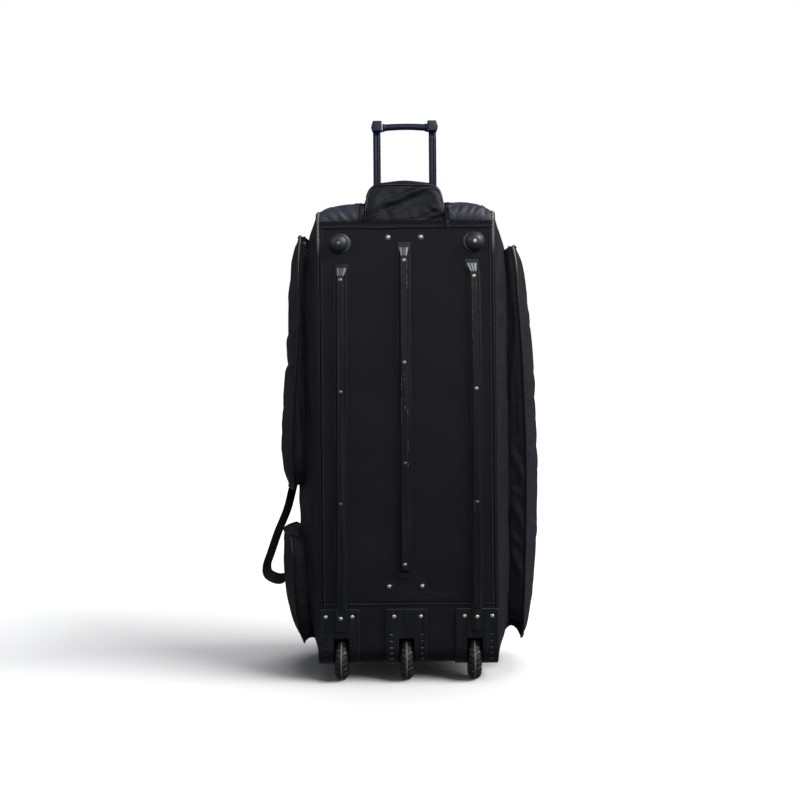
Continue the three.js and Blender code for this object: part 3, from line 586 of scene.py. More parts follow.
def settled(grid, held, slack, push, cap, loop=False, stiff=1.0):
    # Blender's cloth finds the folds: the grid is cut larger than its frame by the slack, sewn down at the
    # held points, pressed outwards or inwards by the push and left to buckle. The slow swell, found by
    # averaging each point's movement with its four neighbours many times over, is taken out again, and no
    # point moves further than the cap.
    size = clothSize
    cells = cellsOf(ringed(np.arange(held.size).reshape(held.shape), loop))
    mesh = bpy.data.meshes.new("settling")
    mesh.from_pydata((grid.reshape(-1, 3) * mm).tolist(), [], cells.tolist())
    sheet = bpy.data.objects.new("settling", mesh)
    bpy.context.scene.collection.objects.link(sheet)
    sewn = sheet.vertex_groups.new(name="sewn")
    sewn.add(np.flatnonzero(held).tolist(), 1.0, "REPLACE")
    cloth = sheet.modifiers.new("cloth", "CLOTH")
    cloth.point_cache.frame_start, cloth.point_cache.frame_end = 1, size["frames"]
    settings = cloth.settings
    settings.quality = 6
    settings.mass = size["mass"]
    settings.vertex_group_mass = "sewn"
    settings.tension_stiffness = settings.compression_stiffness = size["stretch"]
    settings.shear_stiffness, settings.bending_stiffness = size["shear"], size["bend"] * stiff
    settings.tension_damping = settings.compression_damping = size["damping"]
    settings.shrink_min = -slack
    settings.effector_weights.gravity = 0
    settings.use_pressure = True
    settings.uniform_pressure_force = push
    cloth.collision_settings.use_collision = False
    for step in range(1, size["frames"] + 1):
        bpy.context.scene.frame_set(step)
    done = sheet.evaluated_get(bpy.context.evaluated_depsgraph_get()).data
    places = np.empty(held.size * 3, np.float32)
    done.vertices.foreach_get("co", places)
    bpy.context.scene.frame_set(1)
    bpy.data.objects.remove(sheet)
    bpy.data.meshes.remove(mesh)
    move = places.reshape(grid.shape) / mm - grid
    slow = move
    for _ in range(size["average"]):
        if loop:
            wide = np.concatenate([slow[:, -1:], slow, slow[:, :1]], 1)
        else:
            wide = np.pad(slow, ((0, 0), (1, 1), (0, 0)))
        tall = np.pad(slow, ((1, 1), (0, 0), (0, 0)))
        slow = (wide[:, 2:] + wide[:, :-2] + tall[2:] + tall[:-2]) / 4
    move = move - slow
    far = np.linalg.norm(move, axis=-1, keepdims=True)
    move = np.where(held[..., None], 0, move * cap * np.tanh(far / cap) / np.maximum(far, 1e-6))
    return grid + move


def addPiece(name, shapes, finish, stands=None, body="bag", sharp=None):
    shape = joined(shapes if isinstance(shapes, list) else [shapes])
    mesh = bpy.data.meshes.new(name)
    points = shape["points"] * mm + bagOrigin
    mesh.from_pydata(points.tolist(), [], [face for part in shape["faces"] for face in part.tolist()])
    uv = np.concatenate([part.reshape(-1) for part in shape["uv"]])
    mesh.uv_layers.new(name="clothUv").data.foreach_set("uv", uv.astype(np.float32))
    if "wear" in shape:
        wear = mesh.attributes.new("wear", "FLOAT", "POINT")
        wear.data.foreach_set("value", shape["wear"].astype(np.float32))
    mesh.shade_smooth()
    if sharp:
        mesh.set_sharp_from_angle(angle=math.radians(sharp))
    mesh.materials.append(finish)
    piece = bpy.data.objects.new(name, mesh)
    bpy.context.scene.collection.objects.link(piece)
    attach(piece, body)
    if stands:
        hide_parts(stands)
    return piece


# One stitch: a short bean along its own x, seen from its own z.
stitchSize = dict(pitch=7.0, length=4.8, half=0.55)


def stitchRow(path, facing, loop=False):
    # stitches at an even pitch along a path, lying on the surface that faces the way given
    size = stitchSize
    places = evenly(path, size["pitch"], loop)
    ends = np.array([[-0.5, 0.35], [-0.3, 1.0], [0.3, 1.0], [0.5, 0.35]])
    square = circle(size["half"], 4)
    rings = np.stack([xyz(at * size["length"], *(square * wide).T) for at, wide in ends])
    along, across, up = pathWays(places, facing, loop)
    return repeated(tubeOf(rings), places, along, across, up)


def zipTeeth(path, facing, pitch, loop=False, half=2.6):
    # two rows of small blocks that interlock: each tooth is half a pitch behind the one across from it
    places = evenly(path, pitch / 2, loop)
    along, across, up = pathWays(places, facing, loop)
    way = np.where(np.arange(len(places)) % 2 == 0, 1.0, -1.0)[:, None]
    ring = roundedLoop(-0.36 * pitch, 0.36 * pitch, 0, 1.5, 0.4, 1, 1)
    ends = [(-0.9, 0.7), (0.1, 1.0), (half, 0.8)]
    rings = np.stack([xyz(ring[:, 0] * wide, at, ring[:, 1]) for at, wide in ends])
    return repeated(tubeOf(rings), places, along, across * way, up)


def sliderShapes(place, tilt):
    # body: rounded rings from its wide nose to its narrow heel; pull: a long loop of wire hung from a bail
    rings = []
    for z, halfX, halfY in ((17, 3.0, 1.4), (16, 5.0, 2.2), (11.5, 4.8, 2.5), (8, 3.8, 2.5), (6, 2.8, 1.6)):
        ring = roundedLoop(-halfX, halfX, -halfY, halfY, 0.6 * halfY, 3, 2)
        rings.append(xyz(*ring.T, z))
    shapes = [tubeOf(np.stack(rings))]
    turn = fullTurn(20)
    bail = xyz(0, -2.2 + 1.8 * np.cos(turn), 11 + 3.4 * np.sin(turn))
    shapes.append(swept(bail, circle(0.8, 6), (1, 0, 0), True))
    turn = fullTurn(40)
    wide = 2.2 + 1.6 * smoothStep((0.5 - np.sin(turn)) / 1.2)
    down = -12 * (1 - np.sin(turn))
    loop = xyz(wide * np.cos(turn) - math.tan(tilt) * down, -3.4, 9 + down)
    shapes.append(swept(loop, circle(1.15, 8), (0, 1, 0), True))
    return [moved(shape, place) for shape in shapes]


def outlineRun(names, inset, spacing):
    # the bag's outline from the side: quarter arcs about the corners' centres joined by straight lines,
    # with the direction out of the bag at each point
    rt, rb, rk = shell["frontTop"], shell["frontBottom"], shell["back"]
    depth, low, high = shell["depth"], shell["bottom"], shell["top"]
    arcs = dict(frontTop=(rt, high - rt, rt, 180), backTop=(depth - rk, high - rk, rk, 90),
                backBottom=(depth - rk, low + rk, rk, 0), frontBottom=(rb, low + rb, rb, -90))
    lines = dict(base=(0, low + rb, 0, high - rt, 180), topEnd=(rt, high, depth - rk, high, 90),
                 lid=(depth, high - rk, depth, low + rk, 0), bottomEnd=(depth - rk, low, rb, low, -90))
    places, ways = [], []
    for name in names:
        if name in arcs:
            y, z, radius, start = arcs[name]
            turn = np.radians(np.linspace(start, start - 90, max(6, round(1.57 * radius / spacing)) + 1))
            way = np.stack([np.cos(turn), np.sin(turn)], 1)
            place = np.array([y, z]) + way * (radius - inset)
        else:
            y0, z0, y1, z1, facing = lines[name]
            share = np.linspace(0, 1, max(1, round(math.hypot(y1 - y0, z1 - z0) / spacing)) + 1)[:, None]
            way = np.array([[math.cos(math.radians(facing)), math.sin(math.radians(facing))]]) + 0 * share
            place = np.array([y0, z0]) + share * np.array([y1 - y0, z1 - z0]) - inset * way
        first = 0 if not places else 1
        places.append(place[first:])
        ways.append(way[first:])
    return np.concatenate(places), np.concatenate(ways)


def sideX(y, z):
    # a side panel swells most at mid depth and mid height: one minus a square, times one minus a sixth power
    across = 2 * y / shell["depth"] - 1
    up = (2 * z - shell["top"] - shell["bottom"]) / (shell["top"] - shell["bottom"])
    return shell["sideEdge"] + shell["sideBulge"] * (1 - across ** 2) * (1 - up ** 6)


# Base panel: board under cloth, bound at both long edges, with a folded hem along the top seam

basePanel = dict(binding=6.5, bindingRise=0.5, hem=15.0, hemRise=0.9, swell=0.8, seamRoll=998.2,
                 fineFrom=982.0, sideStitchTop=984.0, hemStitch=989.5)


def baseFace(x, z):
    # slow swells, plus a step up on the bindings and a rolled step up on the hem; more is nearer the viewer
    size = basePanel
    calm = smoothStep((shell["panelEdge"] - np.abs(x)) / 30) * smoothStep((z - shell["lowerSeam"]) / 40)
    swell = size["swell"] * ripple(x, z, 3, 420, 60) * calm
    binding = size["bindingRise"] * smoothStep((np.abs(x) - shell["panelEdge"] + size["binding"]) / 0.9)
    hemLow = shell["upperSeam"] - size["hem"]
    wave = 1.0 * ripple(x, 0 * x, 8, 160, 40)
    hem = size["hemRise"] * smoothStep((z - hemLow - wave) / 2.2)
    roll = 0.6 * np.exp(-((z - hemLow - wave - 3.4) / 2.0) ** 2)
    roll = roll + 1.0 * np.exp(-((z - size["seamRoll"]) / 1.2) ** 2)
    return swell + np.maximum(binding, hem) + roll


def baseStitches(x, z):
    return stitchRow(xyz(x, -baseFace(x, z) - 0.2, z), (0, -1, 0))


def addBasePanel():
    size, edge, seam = basePanel, shell["panelEdge"], shell["lowerSeam"]
    x = spaced(-edge, (-edge + 5, 3), (-edge + 8, 5), (edge - 8, 62), (edge - 5, 5), (edge, 3))
    z = spaced(seam, (size["fineFrom"], 118), (shell["upperSeam"], 18))
    gridX, gridZ = np.meshgrid(x, z)
    outer = xyz(gridX, -baseFace(gridX, gridZ), gridZ)
    cover = closedBetween(outer, flatBack(outer, shell["board"]))
    addPiece("base_cover", cover, boardCloth, "base_panel")
    up = np.linspace(seam + 4, size["sideStitchTop"], 60)
    across = np.linspace(-edge + 4, edge - 4, 90)
    rows = [baseStitches(np.full_like(up, way * (edge - 3.4)), up) for way in (-1, 1)]
    rows += [baseStitches(across, np.full_like(across, level)) for level in (size["hemStitch"], seam + 3.2)]
    addPiece("base_stitches", rows, sewingThread)


addBasePanel()
print("base panel made")


# Wheel end panel: covered board from the cross seam down the front, round the corner and under

wheelWell = dict(centres=(-147.0, -5.0, 143.0), half=19.1, back=76.4, top=97.4)
wheelEnd = dict(fineFrom=160.0, lipFrom=166.5, lipRise=0.9, stitch=168.8)


def addWheelEnd():
    # the outline's lower run carried across, with the three wheel wells left out
    size, edge = wheelEnd, shell["panelEdge"]
    under, ways = outlineRun(["backBottom", "bottomEnd", "frontBottom"], 0, 9)
    rise = spaced(shell["bottom"] + shell["frontBottom"], (wheelWell["top"], 3), (size["fineFrom"], 8),
                  (shell["lowerSeam"] - shell["seat"], 5))[1:]
    front = np.stack([0 * rise, rise], 1)
    places = np.concatenate([under, front])
    ways = np.concatenate([ways, np.tile([-1.0, 0.0], (len(rise), 1))])
    near = np.argmin(np.abs(places[:, 0] - wheelWell["back"]) + 1e3 * (places[:, 1] > 40))
    places[near, 0] = wheelWell["back"]
    stops = np.sort([centre + way * wheelWell["half"] for way in (-1, 1) for centre in wheelWell["centres"]])
    x = spaced(-edge, *[(stop, 6 if i % 2 == 0 else 4) for i, stop in enumerate(stops)], (edge, 6))
    lip = size["lipRise"] * smoothStep((places[:, 1] - size["lipFrom"]) / 1.0) * (ways[:, 0] < -0.9)
    gridX = np.broadcast_to(x, (len(places), len(x)))
    swell = 0.5 * ripple(gridX, places[:, 1:], 5, 200, 40) + lip[:, None]
    outer, inner = (xyz(x, places[:, :1] + ways[:, :1] * out, places[:, 1:] + ways[:, 1:] * out)
                    for out in (swell, -shell["board"]))
    middle = cellMiddles(outer)
    keep = np.ones(middle.shape[:2], bool)
    for centre in wheelWell["centres"]:
        inWell = (np.abs(middle[..., 0] - centre) < wheelWell["half"]) & (middle[..., 1] < wheelWell["back"])
        keep &= ~(inWell & (middle[..., 2] < wheelWell["top"]))
    cover = closedBetween(outer, inner, keep=keep)
    addPiece("wheel_end_cover", cover, boardCloth, "wheel_end_panel")
    line = np.linspace(-edge + 4, edge - 4, 90)
    path = xyz(line, -size["lipRise"], size["stitch"])
    addPiece("wheel_end_stitches", stitchRow(path, (0, -1, 0)), sewingThread)


addWheelEnd()
print("wheel end made")


# Top end panel: soft cloth over the top, crowned and creased, notched for the handle hood

hood = dict(
    x=-2.0, lowRadius=8.0, highRadius=20.0, low=1000.4, rimSide=1057.0, rimFront=1082.0, rimBack=1091.0,
    hump=6.0, humpHalf=42.0, rimPower=10, pipe=2.5, slack=0.015, middle=(-2.0, 36.0, 1040.0),
    # share of the height, half width, front and back
    rows=[(0, 91, 3.2, 69), (0.3, 90.2, 1.6, 70), (0.6, 88.2, 2.4, 69.5), (0.8, 86, 5, 67.5), (1, 83, 8, 65)],
    # folds: x, height above the seam, angle, half length, width, height
    folds=[(-5, 41, 21, 75, 9, -3.8), (40, 20, 14, 45, 8, 2.4), (66, 30, 150, 20, 5, 2.6),
           (70, 15, 18, 20, 4.5, 2.4), (-32, 66, 8, 32, 6, 2.0), (-66, 30, 62, 30, 8, 1.6),
           (30, 68, 10, 40, 6, 1.4)],
)
topPanel = dict(
    notchX=-2.0, notchHalf=91.8, notchBack=70.8, slack=0.015,
    # folds: across in mm from the middle, along in mm from the front seam, angle, half length, width, height
    folds=[(-138, 24, 132, 30, 5, -4.0), (-166, 22, 118, 24, 6, 2.2), (-108, 40, 112, 26, 6, 1.6),
           (126, 24, 57, 22, 3.2, 1.6), (144, 22, 55, 24, 3.4, 2.2), (160, 24, 55, 24, 3.6, 2.4),
           (174, 22, 80, 22, 4, -2.4), (-60, 165, 12, 90, 14, 4.0), (70, 185, 170, 100, 15, 4.0),
           (-20, 240, 5, 120, 16, 4.0), (120, 250, 30, 80, 14, 3.5), (-130, 260, 150, 80, 14, 3.5)],
)


def hoodRadius(share):
    # the hood's corners are tighter at the seam than at the rim
    return hood["lowRadius"] + (hood["highRadius"] - hood["lowRadius"]) * np.clip(share, 0, 1)


def topPanelSurface(x, along):
    # outline plus a crown: one minus a power across, steeper at the right, times a half sine from front seam
    # to back seam, then the folds and ripples, all outwards; the share from seam to seam runs in the solid's
    # fourteen steps, four round each corner and six between them
    shares, places, ways, start = [], [], [], 0
    for name, steps in (("frontTop", 4), ("topEnd", 6), ("backTop", 4)):
        place, way = outlineRun([name], 0, 1.5)
        shares.append((start + np.linspace(0, steps, len(place))) / 14)
        places.append(place)
        ways.append(way)
        start += steps
    shares, places, ways = (np.concatenate(part) for part in (shares, places, ways))
    run = runAlong(places)
    share = np.interp(along, run, shares)
    place = np.stack([np.interp(along, run, places[:, i]) for i in (0, 1)], -1)
    way = unit(np.stack([np.interp(along, run, ways[:, i]) for i in (0, 1)], -1))
    across = x / shell["panelEdge"]
    body = (1 - np.abs(across) ** np.where(across < 0, 5.5, 9)) * np.maximum(np.sin(np.pi * share), 0) ** 1.1
    free = smoothStep((1 - np.abs(across)) / 0.12) * smoothStep(share / 0.1) * smoothStep((1 - share) / 0.12)
    soft = folded(x, along, topPanel["folds"]) + 0.8 * ripple(x, along, 11, 150, 50)
    out = shell["topCrown"] * body + free * soft
    return xyz(x, place[..., 0] + way[..., 0] * out, place[..., 1] + way[..., 1] * out), run[-1]


def addTopPanel():
    size, edge = topPanel, shell["panelEdge"]
    _, length = topPanelSurface(np.zeros(1), np.zeros(1))
    left, right = size["notchX"] - size["notchHalf"], size["notchX"] + size["notchHalf"]
    # from the front seam round a quarter turn, 1.5708 times its radius, then straight to the notch's back
    notchAlong = 1.5708 * shell["frontTop"] + size["notchBack"] - shell["frontTop"]
    leftCell, rightCell, backCell = 28, 80, 26
    x = spaced(-edge, (left, leftCell), (right, rightCell - leftCell), (edge, 28))
    along = spaced(0, (notchAlong, backCell), (length, 84))
    gridX, gridAlong = np.meshgrid(x, along)
    outer, _ = topPanelSurface(gridX, gridAlong)
    # beside the notch the cloth leans in to lie against the hood, and the lean fades out over a short way
    rows = np.array(hood["rows"], float)
    share = (outer[..., 2] - hood["low"]) / (hood["rimSide"] + 2 - hood["low"])
    half, front = (np.interp(share, rows[:, 0], rows[:, i]) for i in (1, 2))
    radius = hoodRadius(share)
    into = np.clip(front + radius - outer[..., 1], 0, 0.6 * radius)
    lean = size["notchHalf"] - 0.8 - half + radius - np.sqrt(radius ** 2 - into ** 2)
    away = np.abs(gridX - size["notchX"]) - size["notchHalf"]
    fade = np.exp(-np.maximum(away, 0) / 22) * smoothStep((notchAlong + 12 - gridAlong) / 24)
    outer[..., 0] -= np.sign(gridX - size["notchX"]) * np.where(away > -0.1, np.maximum(lean, 0) * fade, 0)
    inNotch = (np.abs(gridX - size["notchX"]) < size["notchHalf"] + 11) & (gridAlong < notchAlong + 11)
    outer = settled(outer, heldEdge(outer, 2, 2) | inNotch, size["slack"], 0.0, 6.0)
    besideNotch = np.abs(between(x) - size["notchX"]) >= size["notchHalf"]
    keep = besideNotch[None] | (between(along) >= notchAlong)[:, None]
    cover = wall(outer, shell["cloth"], bagMiddle, keep=keep)
    addPiece("top_cover", cover, topClothPaintedLight, "top_end_panel")
    # zip round the hood: a tape three cells wide on each side of the notch and behind it, with teeth along it
    normals = outNormals(outer, bagMiddle)
    raised = outer + 0.3 * normals
    tapes, teeth = [], []
    beside, behind = slice(0, backCell + 1), slice(leftCell, rightCell + 1)
    for cells, line in (((beside, slice(leftCell - 3, leftCell + 1)), (beside, leftCell - 2)),
                        ((beside, slice(rightCell, rightCell + 4)), (beside, rightCell + 2)),
                        ((slice(backCell + 1, backCell + 5), behind), (backCell + 3, behind))):
        tapes.append(wall(raised[cells], 0.8, bagMiddle))
        teeth.append(zipTeeth(raised[line] - 0.8 * normals[line], (0, -0.6, 0.8), 3.2, half=2.0))
    addPiece("hood_zip_tape", tapes, coatedCloth)
    addPiece("hood_zip_teeth", teeth, zipNylon)
    rows = []
    for first, last, level, facing in ((-edge, left, 7.0, -1), (right, edge, 7.0, -1),
                                       (-edge, edge, length - 7.0, 1)):
        line = np.linspace(first + 4, last - 4, 60)
        path, _ = topPanelSurface(line, np.full_like(line, level))
        rows.append(stitchRow(path, (0, facing, 0.3)))
    addPiece("top_stitches", rows, sewingThread)


addTopPanel()
print("top panel made")


# Lid panel and its zip band

lidZip = dict(halfWidth=158.0, low=112.0, high=950.0, radius=45.0, band=22.0, pitch=3.2, slack=0.025,
              push=0.5)


def lidY(x, z):
    # crown: one minus a square across, times one minus a fourth power up
    middle = (shell["top"] + shell["bottom"]) / 2
    up = (z - middle) / (shell["top"] - shell["back"] - middle)
    return shell["depth"] + shell["lidCrown"] * (1 - (x / shell["panelEdge"]) ** 2) * (1 - up ** 4)


def lidFace(x, z):
    free = smoothStep((shell["panelEdge"] - np.abs(x)) / 25)
    low, high = shell["bottom"] + shell["back"], shell["top"] - shell["back"]
    free = free * smoothStep((z - low) / 40) * smoothStep((high - z) / 40)
    middle = smoothStep((lidZip["halfWidth"] - lidZip["band"] - 6 - np.abs(x)) / 30)
    return lidY(x, z) + free * (0.35 * ripple(x, z, 21, 320, 50) + middle * 2.2 * ripple(x, z, 22, 260, 45))


def onLid(spot, lift):
    x, z = spot[..., 0], spot[..., 1]
    return xyz(x, lidFace(x, z) + lift, z)


def addLid():
    edge, size = shell["panelEdge"], lidZip
    x = np.linspace(-edge, edge, 71)
    z = np.linspace(shell["top"] - shell["back"] - 0.4, shell["bottom"] + shell["back"] + 0.4, 150)
    gridX, gridZ = np.meshgrid(x, z)
    outer = xyz(gridX, lidFace(gridX, gridZ), gridZ)
    inside = (np.abs(gridX) < size["halfWidth"] - size["band"] - 8) & (gridZ > size["low"] + size["band"] + 8)
    inside &= gridZ < size["high"] - size["band"] - 8
    outer = settled(outer, ~inside, size["slack"], size["push"], 7.0)
    addPiece("lid_cover", wall(outer, shell["cloth"], bagMiddle), coatedCloth, "lid_panel")

    half = size["halfWidth"]
    loop = roundedLoop(-half, half, size["low"], size["high"], size["radius"], 14, 60)
    inward = -loopOut(loop)
    shares = np.array([0.0, 0.06, 0.14, 0.4, 0.44, 0.56, 0.6, 0.86, 0.94, 1.0])
    rises = np.array([1.0, 2.2, 2.8, 2.8, 2.0, 2.0, 2.8, 2.8, 2.2, 1.0])
    flat = loop[None] + shares[:, None, None] * size["band"] * inward[None]
    band = wall(onLid(flat, rises[:, None]), 1.6, bagMiddle, True)
    addPiece("lid_zip_tape", band, coatedCloth, "lid_zip")
    path = onLid(loop + 0.5 * size["band"] * inward, 2.0)
    addPiece("lid_zip_teeth", zipTeeth(path, (0, 1, 0), size["pitch"], True), zipNylon)
    lines = [onLid(loop + share * size["band"] * inward, 3.0) for share in (0.2, 0.8)]
    rows = [stitchRow(line, (0, 1, 0), True) for line in lines]
    addPiece("lid_stitches", rows, sewingThread)


addLid()
print("lid made")


# Side panels, tucked under the piping all round

sidePanel = dict(
    slack=0.025, push=0.5,
    # where the pockets are sewn on: low, high, front, back
    sewn=dict(left=[(405, 988, 42, 318), (58, 318, 42, 318)], right=[(60, 962, 42, 318)]),
    # folds: depth from the base and height, angle, half length, width, height
    folds=[(24, 905, 70, 60, 8, 2.6), (20, 800, 98, 90, 7, 2.0), (26, 640, 85, 120, 8, 2.2),
           (20, 470, 95, 110, 7, 2.0), (26, 300, 80, 90, 8, 2.4), (18, 150, 100, 70, 7, 2.2),
           (335, 820, 95, 110, 9, 2.4), (340, 520, 85, 150, 8, 2.2), (336, 230, 96, 110, 9, 2.4)],
)


def sideEdges(z):
    # front and back edge at a height: the corner arcs, inset by the piping's radius
    inset = shell["pipe"]

    def retreat(radius, into):
        small = radius - inset
        reach = np.sqrt(np.maximum(small ** 2 - np.maximum(into, 0) ** 2, 0))
        return np.where(into <= 0, inset, radius - reach)

    def edgeOf(upper, lower):
        return np.maximum(retreat(upper, z - shell["top"] + upper),
                          retreat(lower, shell["bottom"] + lower - z))

    front, back = edgeOf(shell["frontTop"], shell["frontBottom"]), edgeOf(shell["back"], shell["back"])
    return front, shell["depth"] - back


def addSide(name, way, seed):
    low, high = shell["bottom"] + shell["pipe"], shell["top"] - shell["pipe"]
    z = spaced(low, (low + 12, 7), (low + 60, 14), (high - 60, 130), (high - 12, 14), (high, 7))
    share = spaced(0, (0.02, 2), (0.98, 70), (1, 2))
    front, back = sideEdges(z)
    y = front[:, None] + share * (back - front)[:, None]
    gridZ = np.broadcast_to(z[:, None], y.shape)
    free = smoothStep((y - front[:, None]) / 14) * smoothStep((back[:, None] - y) / 14)
    free = free * smoothStep((gridZ - low) / 25) * smoothStep((high - gridZ) / 25)
    soft = folded(y, gridZ, sidePanel["folds"]) + 1.3 * ripple(y, gridZ, seed, 170, 30)
    outer = xyz(way * (sideX(y, gridZ) + free * soft), y, gridZ)
    # one more row or column all round turns in under the piping
    outer = np.pad(outer, ((1, 1), (1, 1), (0, 0)), "edge")
    outer[[0, -1], :, 0] = outer[:, [0, -1], 0] = way * (shell["halfWidth"] + 1.5)
    held = heldEdge(outer, 4, 4)
    y, z = outer[..., 1], outer[..., 2]
    for low, high, first, last in sidePanel["sewn"][name]:
        held |= (z > low) & (z < high) & (y > first) & (y < last)
    outer = settled(outer, held, sidePanel["slack"], sidePanel["push"] * way, 5.0)
    addPiece(f"side_{name}_cloth", wall(outer, shell["cloth"], bagMiddle), coatedCloth,
             f"side_panel_{name}")


piping = dict(strand=0.1, bunched=0.5, pitch=5.6, bunchLow=925.0, bunchBack=120.0, sides=12)


def addPiping(name, way):
    # two strands laid round a cord: the radius follows the cosine of twice the twisted angle,
    # deep near the top corners where the cover bunches and faint elsewhere
    size = piping
    names = ["base", "frontTop", "topEnd", "backTop", "lid", "backBottom", "bottomEnd", "frontBottom"]
    places, _ = outlineRun(names, shell["pipe"], 1.4)
    path = xyz(way * shell["halfWidth"], *places[:-1].T)
    run = np.cumsum(np.linalg.norm(path - np.roll(path, 1, 0), axis=1))
    turn = fullTurn(size["sides"])
    bunch = smoothStep((path[:, 2] - size["bunchLow"]) / 40)
    bunch = bunch * smoothStep((size["bunchBack"] - path[:, 1]) / 60)
    twist = np.cos(2 * turn[None] - 2 * np.pi * run[:, None] / size["pitch"])
    radius = shell["pipe"] + size["strand"] + (size["strand"] + size["bunched"] * bunch[:, None]) * twist
    section = np.stack([radius * np.cos(turn), radius * np.sin(turn)], -1)
    cord = swept(path, section, (1, 0, 0), True)
    # painted highlight: the crests of the strands near the top corners are painted pale
    cord["wear"] = (bunch[:, None] * smoothStep((twist - 0.2) / 0.5)).reshape(-1)
    addPiece(f"piping_{name}_cord", cord, pipingVinyl, f"piping_{name}")


for name, way, seed in (("left", -1, 31), ("right", 1, 32)):
    addSide(name, way, seed)
    addPiping(name, way)
print("sides made")


# Side pockets: a face and a gusset, piped where they meet

pockets = [
    dict(
        name="pocket_left_upper", way=-1, seed=41, zip=True, slack=0.6, cap=5.0, pull=-4,
        # height, front edge, back edge and rise of the gusset
        rows=[(979, 80, 280, 24), (950, 60, 300, 22), (880, 50, 310, 20), (780, 48, 312, 18),
              (660, 48, 312, 26), (530, 48, 312, 35), (466, 50, 310, 33), (430, 60, 300, 28),
              (413, 80, 280, 18)],
        # folds on the face: depth, height, angle, half length, width, height
        folds=[(180, 745, 8, 140, 13, 4.0), (185, 690, 172, 130, 12, -4.5), (150, 850, 20, 90, 16, 2.5),
               (190, 610, 165, 110, 18, 2.5), (170, 500, 25, 120, 18, 3.0), (200, 930, 5, 80, 12, 2.5)],
        # folds on the gusset: distance round from the top front corner going down the front, share of its
        # depth, then as above; sink is how far its foot is drawn up between seam and rim, and the last value
        # how strongly its piping is painted pale as a highlight
        gusset=[(120, 0.5, 3, 90, 6, 1.2), (200, 0.4, 177, 80, 6, 1.4), (268, 0.5, 92, 14, 6, 1.6),
                (330, 0.6, 5, 90, 6, 1.4), (440, 0.4, 176, 80, 7, 1.4)],
        sink=3.0, wornAndHighlight=0.4,
    ),
    dict(
        name="pocket_left_lower", way=-1, seed=42, zip=False, slack=0.25, cap=5.0, lap=(232, 205),
        rows=[(310, 80, 280, 32), (290, 58, 302, 34), (180, 50, 310, 35), (112, 54, 306, 34),
              (84, 66, 292, 31), (66, 88, 276, 26)],
        folds=[(180, 250, 12, 110, 14, 2.5), (160, 160, 165, 120, 16, 3.0), (190, 95, 15, 90, 12, 2.5)],
        gusset=[(60, 0.5, 80, 14, 12, 0.7), (150, 0.5, 100, 16, 12, 0.8), (215, 0.5, 60, 16, 9, 0.8)],
        sink=5.0, wornAndHighlight=0.0,
    ),
    dict(
        name="pocket_right", way=1, seed=43, zip=True, slack=0.45, cap=2.8, pull=62,
        rows=[(953, 80, 280, 22), (930, 60, 300, 28), (840, 50, 310, 29), (690, 48, 312, 39),
              (500, 48, 312, 45), (370, 48, 312, 44), (230, 50, 310, 40), (130, 58, 306, 40),
              (90, 84, 294, 45), (68, 116, 276, 48)],
        folds=[(180, 800, 10, 120, 16, 2.5), (170, 640, 168, 130, 18, 3.0), (190, 470, 12, 130, 18, 3.0),
               (175, 300, 165, 130, 16, 3.0), (190, 160, 15, 110, 14, 2.5)],
        gusset=[(110, 0.5, 4, 120, 7, 1.2), (280, 0.35, 176, 130, 6, 1.4), (330, 0.75, 2, 110, 6, 1.2),
                (488, 0.7, 28, 44, 10, 2.6), (545, 0.4, 62, 22, 8, 1.6), (602, 0.75, 24, 40, 10, 2.8),
                (655, 0.45, 48, 24, 8, 1.6), (712, 0.7, 30, 50, 11, 3.0)],
        sink=31.0, wornAndHighlight=0.4,
    ),
]
pocketTrim = dict(tuck=-10.0, bulge=2.6, pipe=2.3, pipeSides=8, stitchIn=7.0, blur=24.0, gusset=1.6,
                  insideX=150.0, insideY=180.0, lapHalfY=24.0, lapHalfZ=34.0, zipPitch=3.2)


def pocketFaceOf(pocket):
    # the side panel's swell plus the pocket's rise, highest down the middle, plus the face's folds;
    # the table's edges and rise are averaged over a short height so that they run smoothly
    z0, front0, back0, rise0 = np.array(pocket["rows"], float)[::-1].T
    spread = np.linspace(-pocketTrim["blur"], pocketTrim["blur"], 9)

    def at(z, values):
        return np.interp(np.asarray(z, float)[..., None] + spread, z0, values).mean(-1)

    def edges(z):
        front, back = at(z, front0), at(z, back0)
        inset = 0.025 * (back - front)
        return front + inset, back - inset

    def face(y, z):
        front, back = edges(z)
        across = np.clip((y - front) / (back - front), 0, 1)
        lift = 0.9 + 0.2 * (1 - np.abs(2 * across - 1) ** 2.6)
        free = smoothStep(across / 0.12) * smoothStep((1 - across) / 0.12)
        free = free * smoothStep((z0[-1] - z) / 30) * smoothStep((z - z0[0]) / 30)
        soft = pocket["slack"] * (folded(y, z, pocket["folds"]) + ripple(y, z, pocket["seed"], 160, 26))
        return sideX(y, z) + lift * at(z, rise0) + free * soft

    return face, edges, z0[-1], z0[0]


def pocketLoop(edges, high, low, step):
    # the piped line: along the top, down the back, along the bottom and up the front, with its way out
    z = np.linspace(high, low, max(8, round((high - low) / step)))
    front, back = edges(z)
    share = np.linspace(0, 1, max(8, round((back[0] - front[0]) / step)))
    top = np.stack([front[0] + share * (back[0] - front[0]), np.full_like(share, high)], 1)
    bottom = np.stack([back[-1] + share * (front[-1] - back[-1]), np.full_like(share, low)], 1)
    flat = np.concatenate([top, np.stack([back, z], 1)[1:], bottom[1:], np.stack([front, z], 1)[-2:0:-1]])
    for _ in range(6):
        flat = (np.roll(flat, 1, 0) + 2 * flat + np.roll(flat, -1, 0)) / 4
    out = loopOut(flat)
    out = out * np.sign(np.sum(out * (flat - flat.mean(0))))
    return flat, out, len(share)


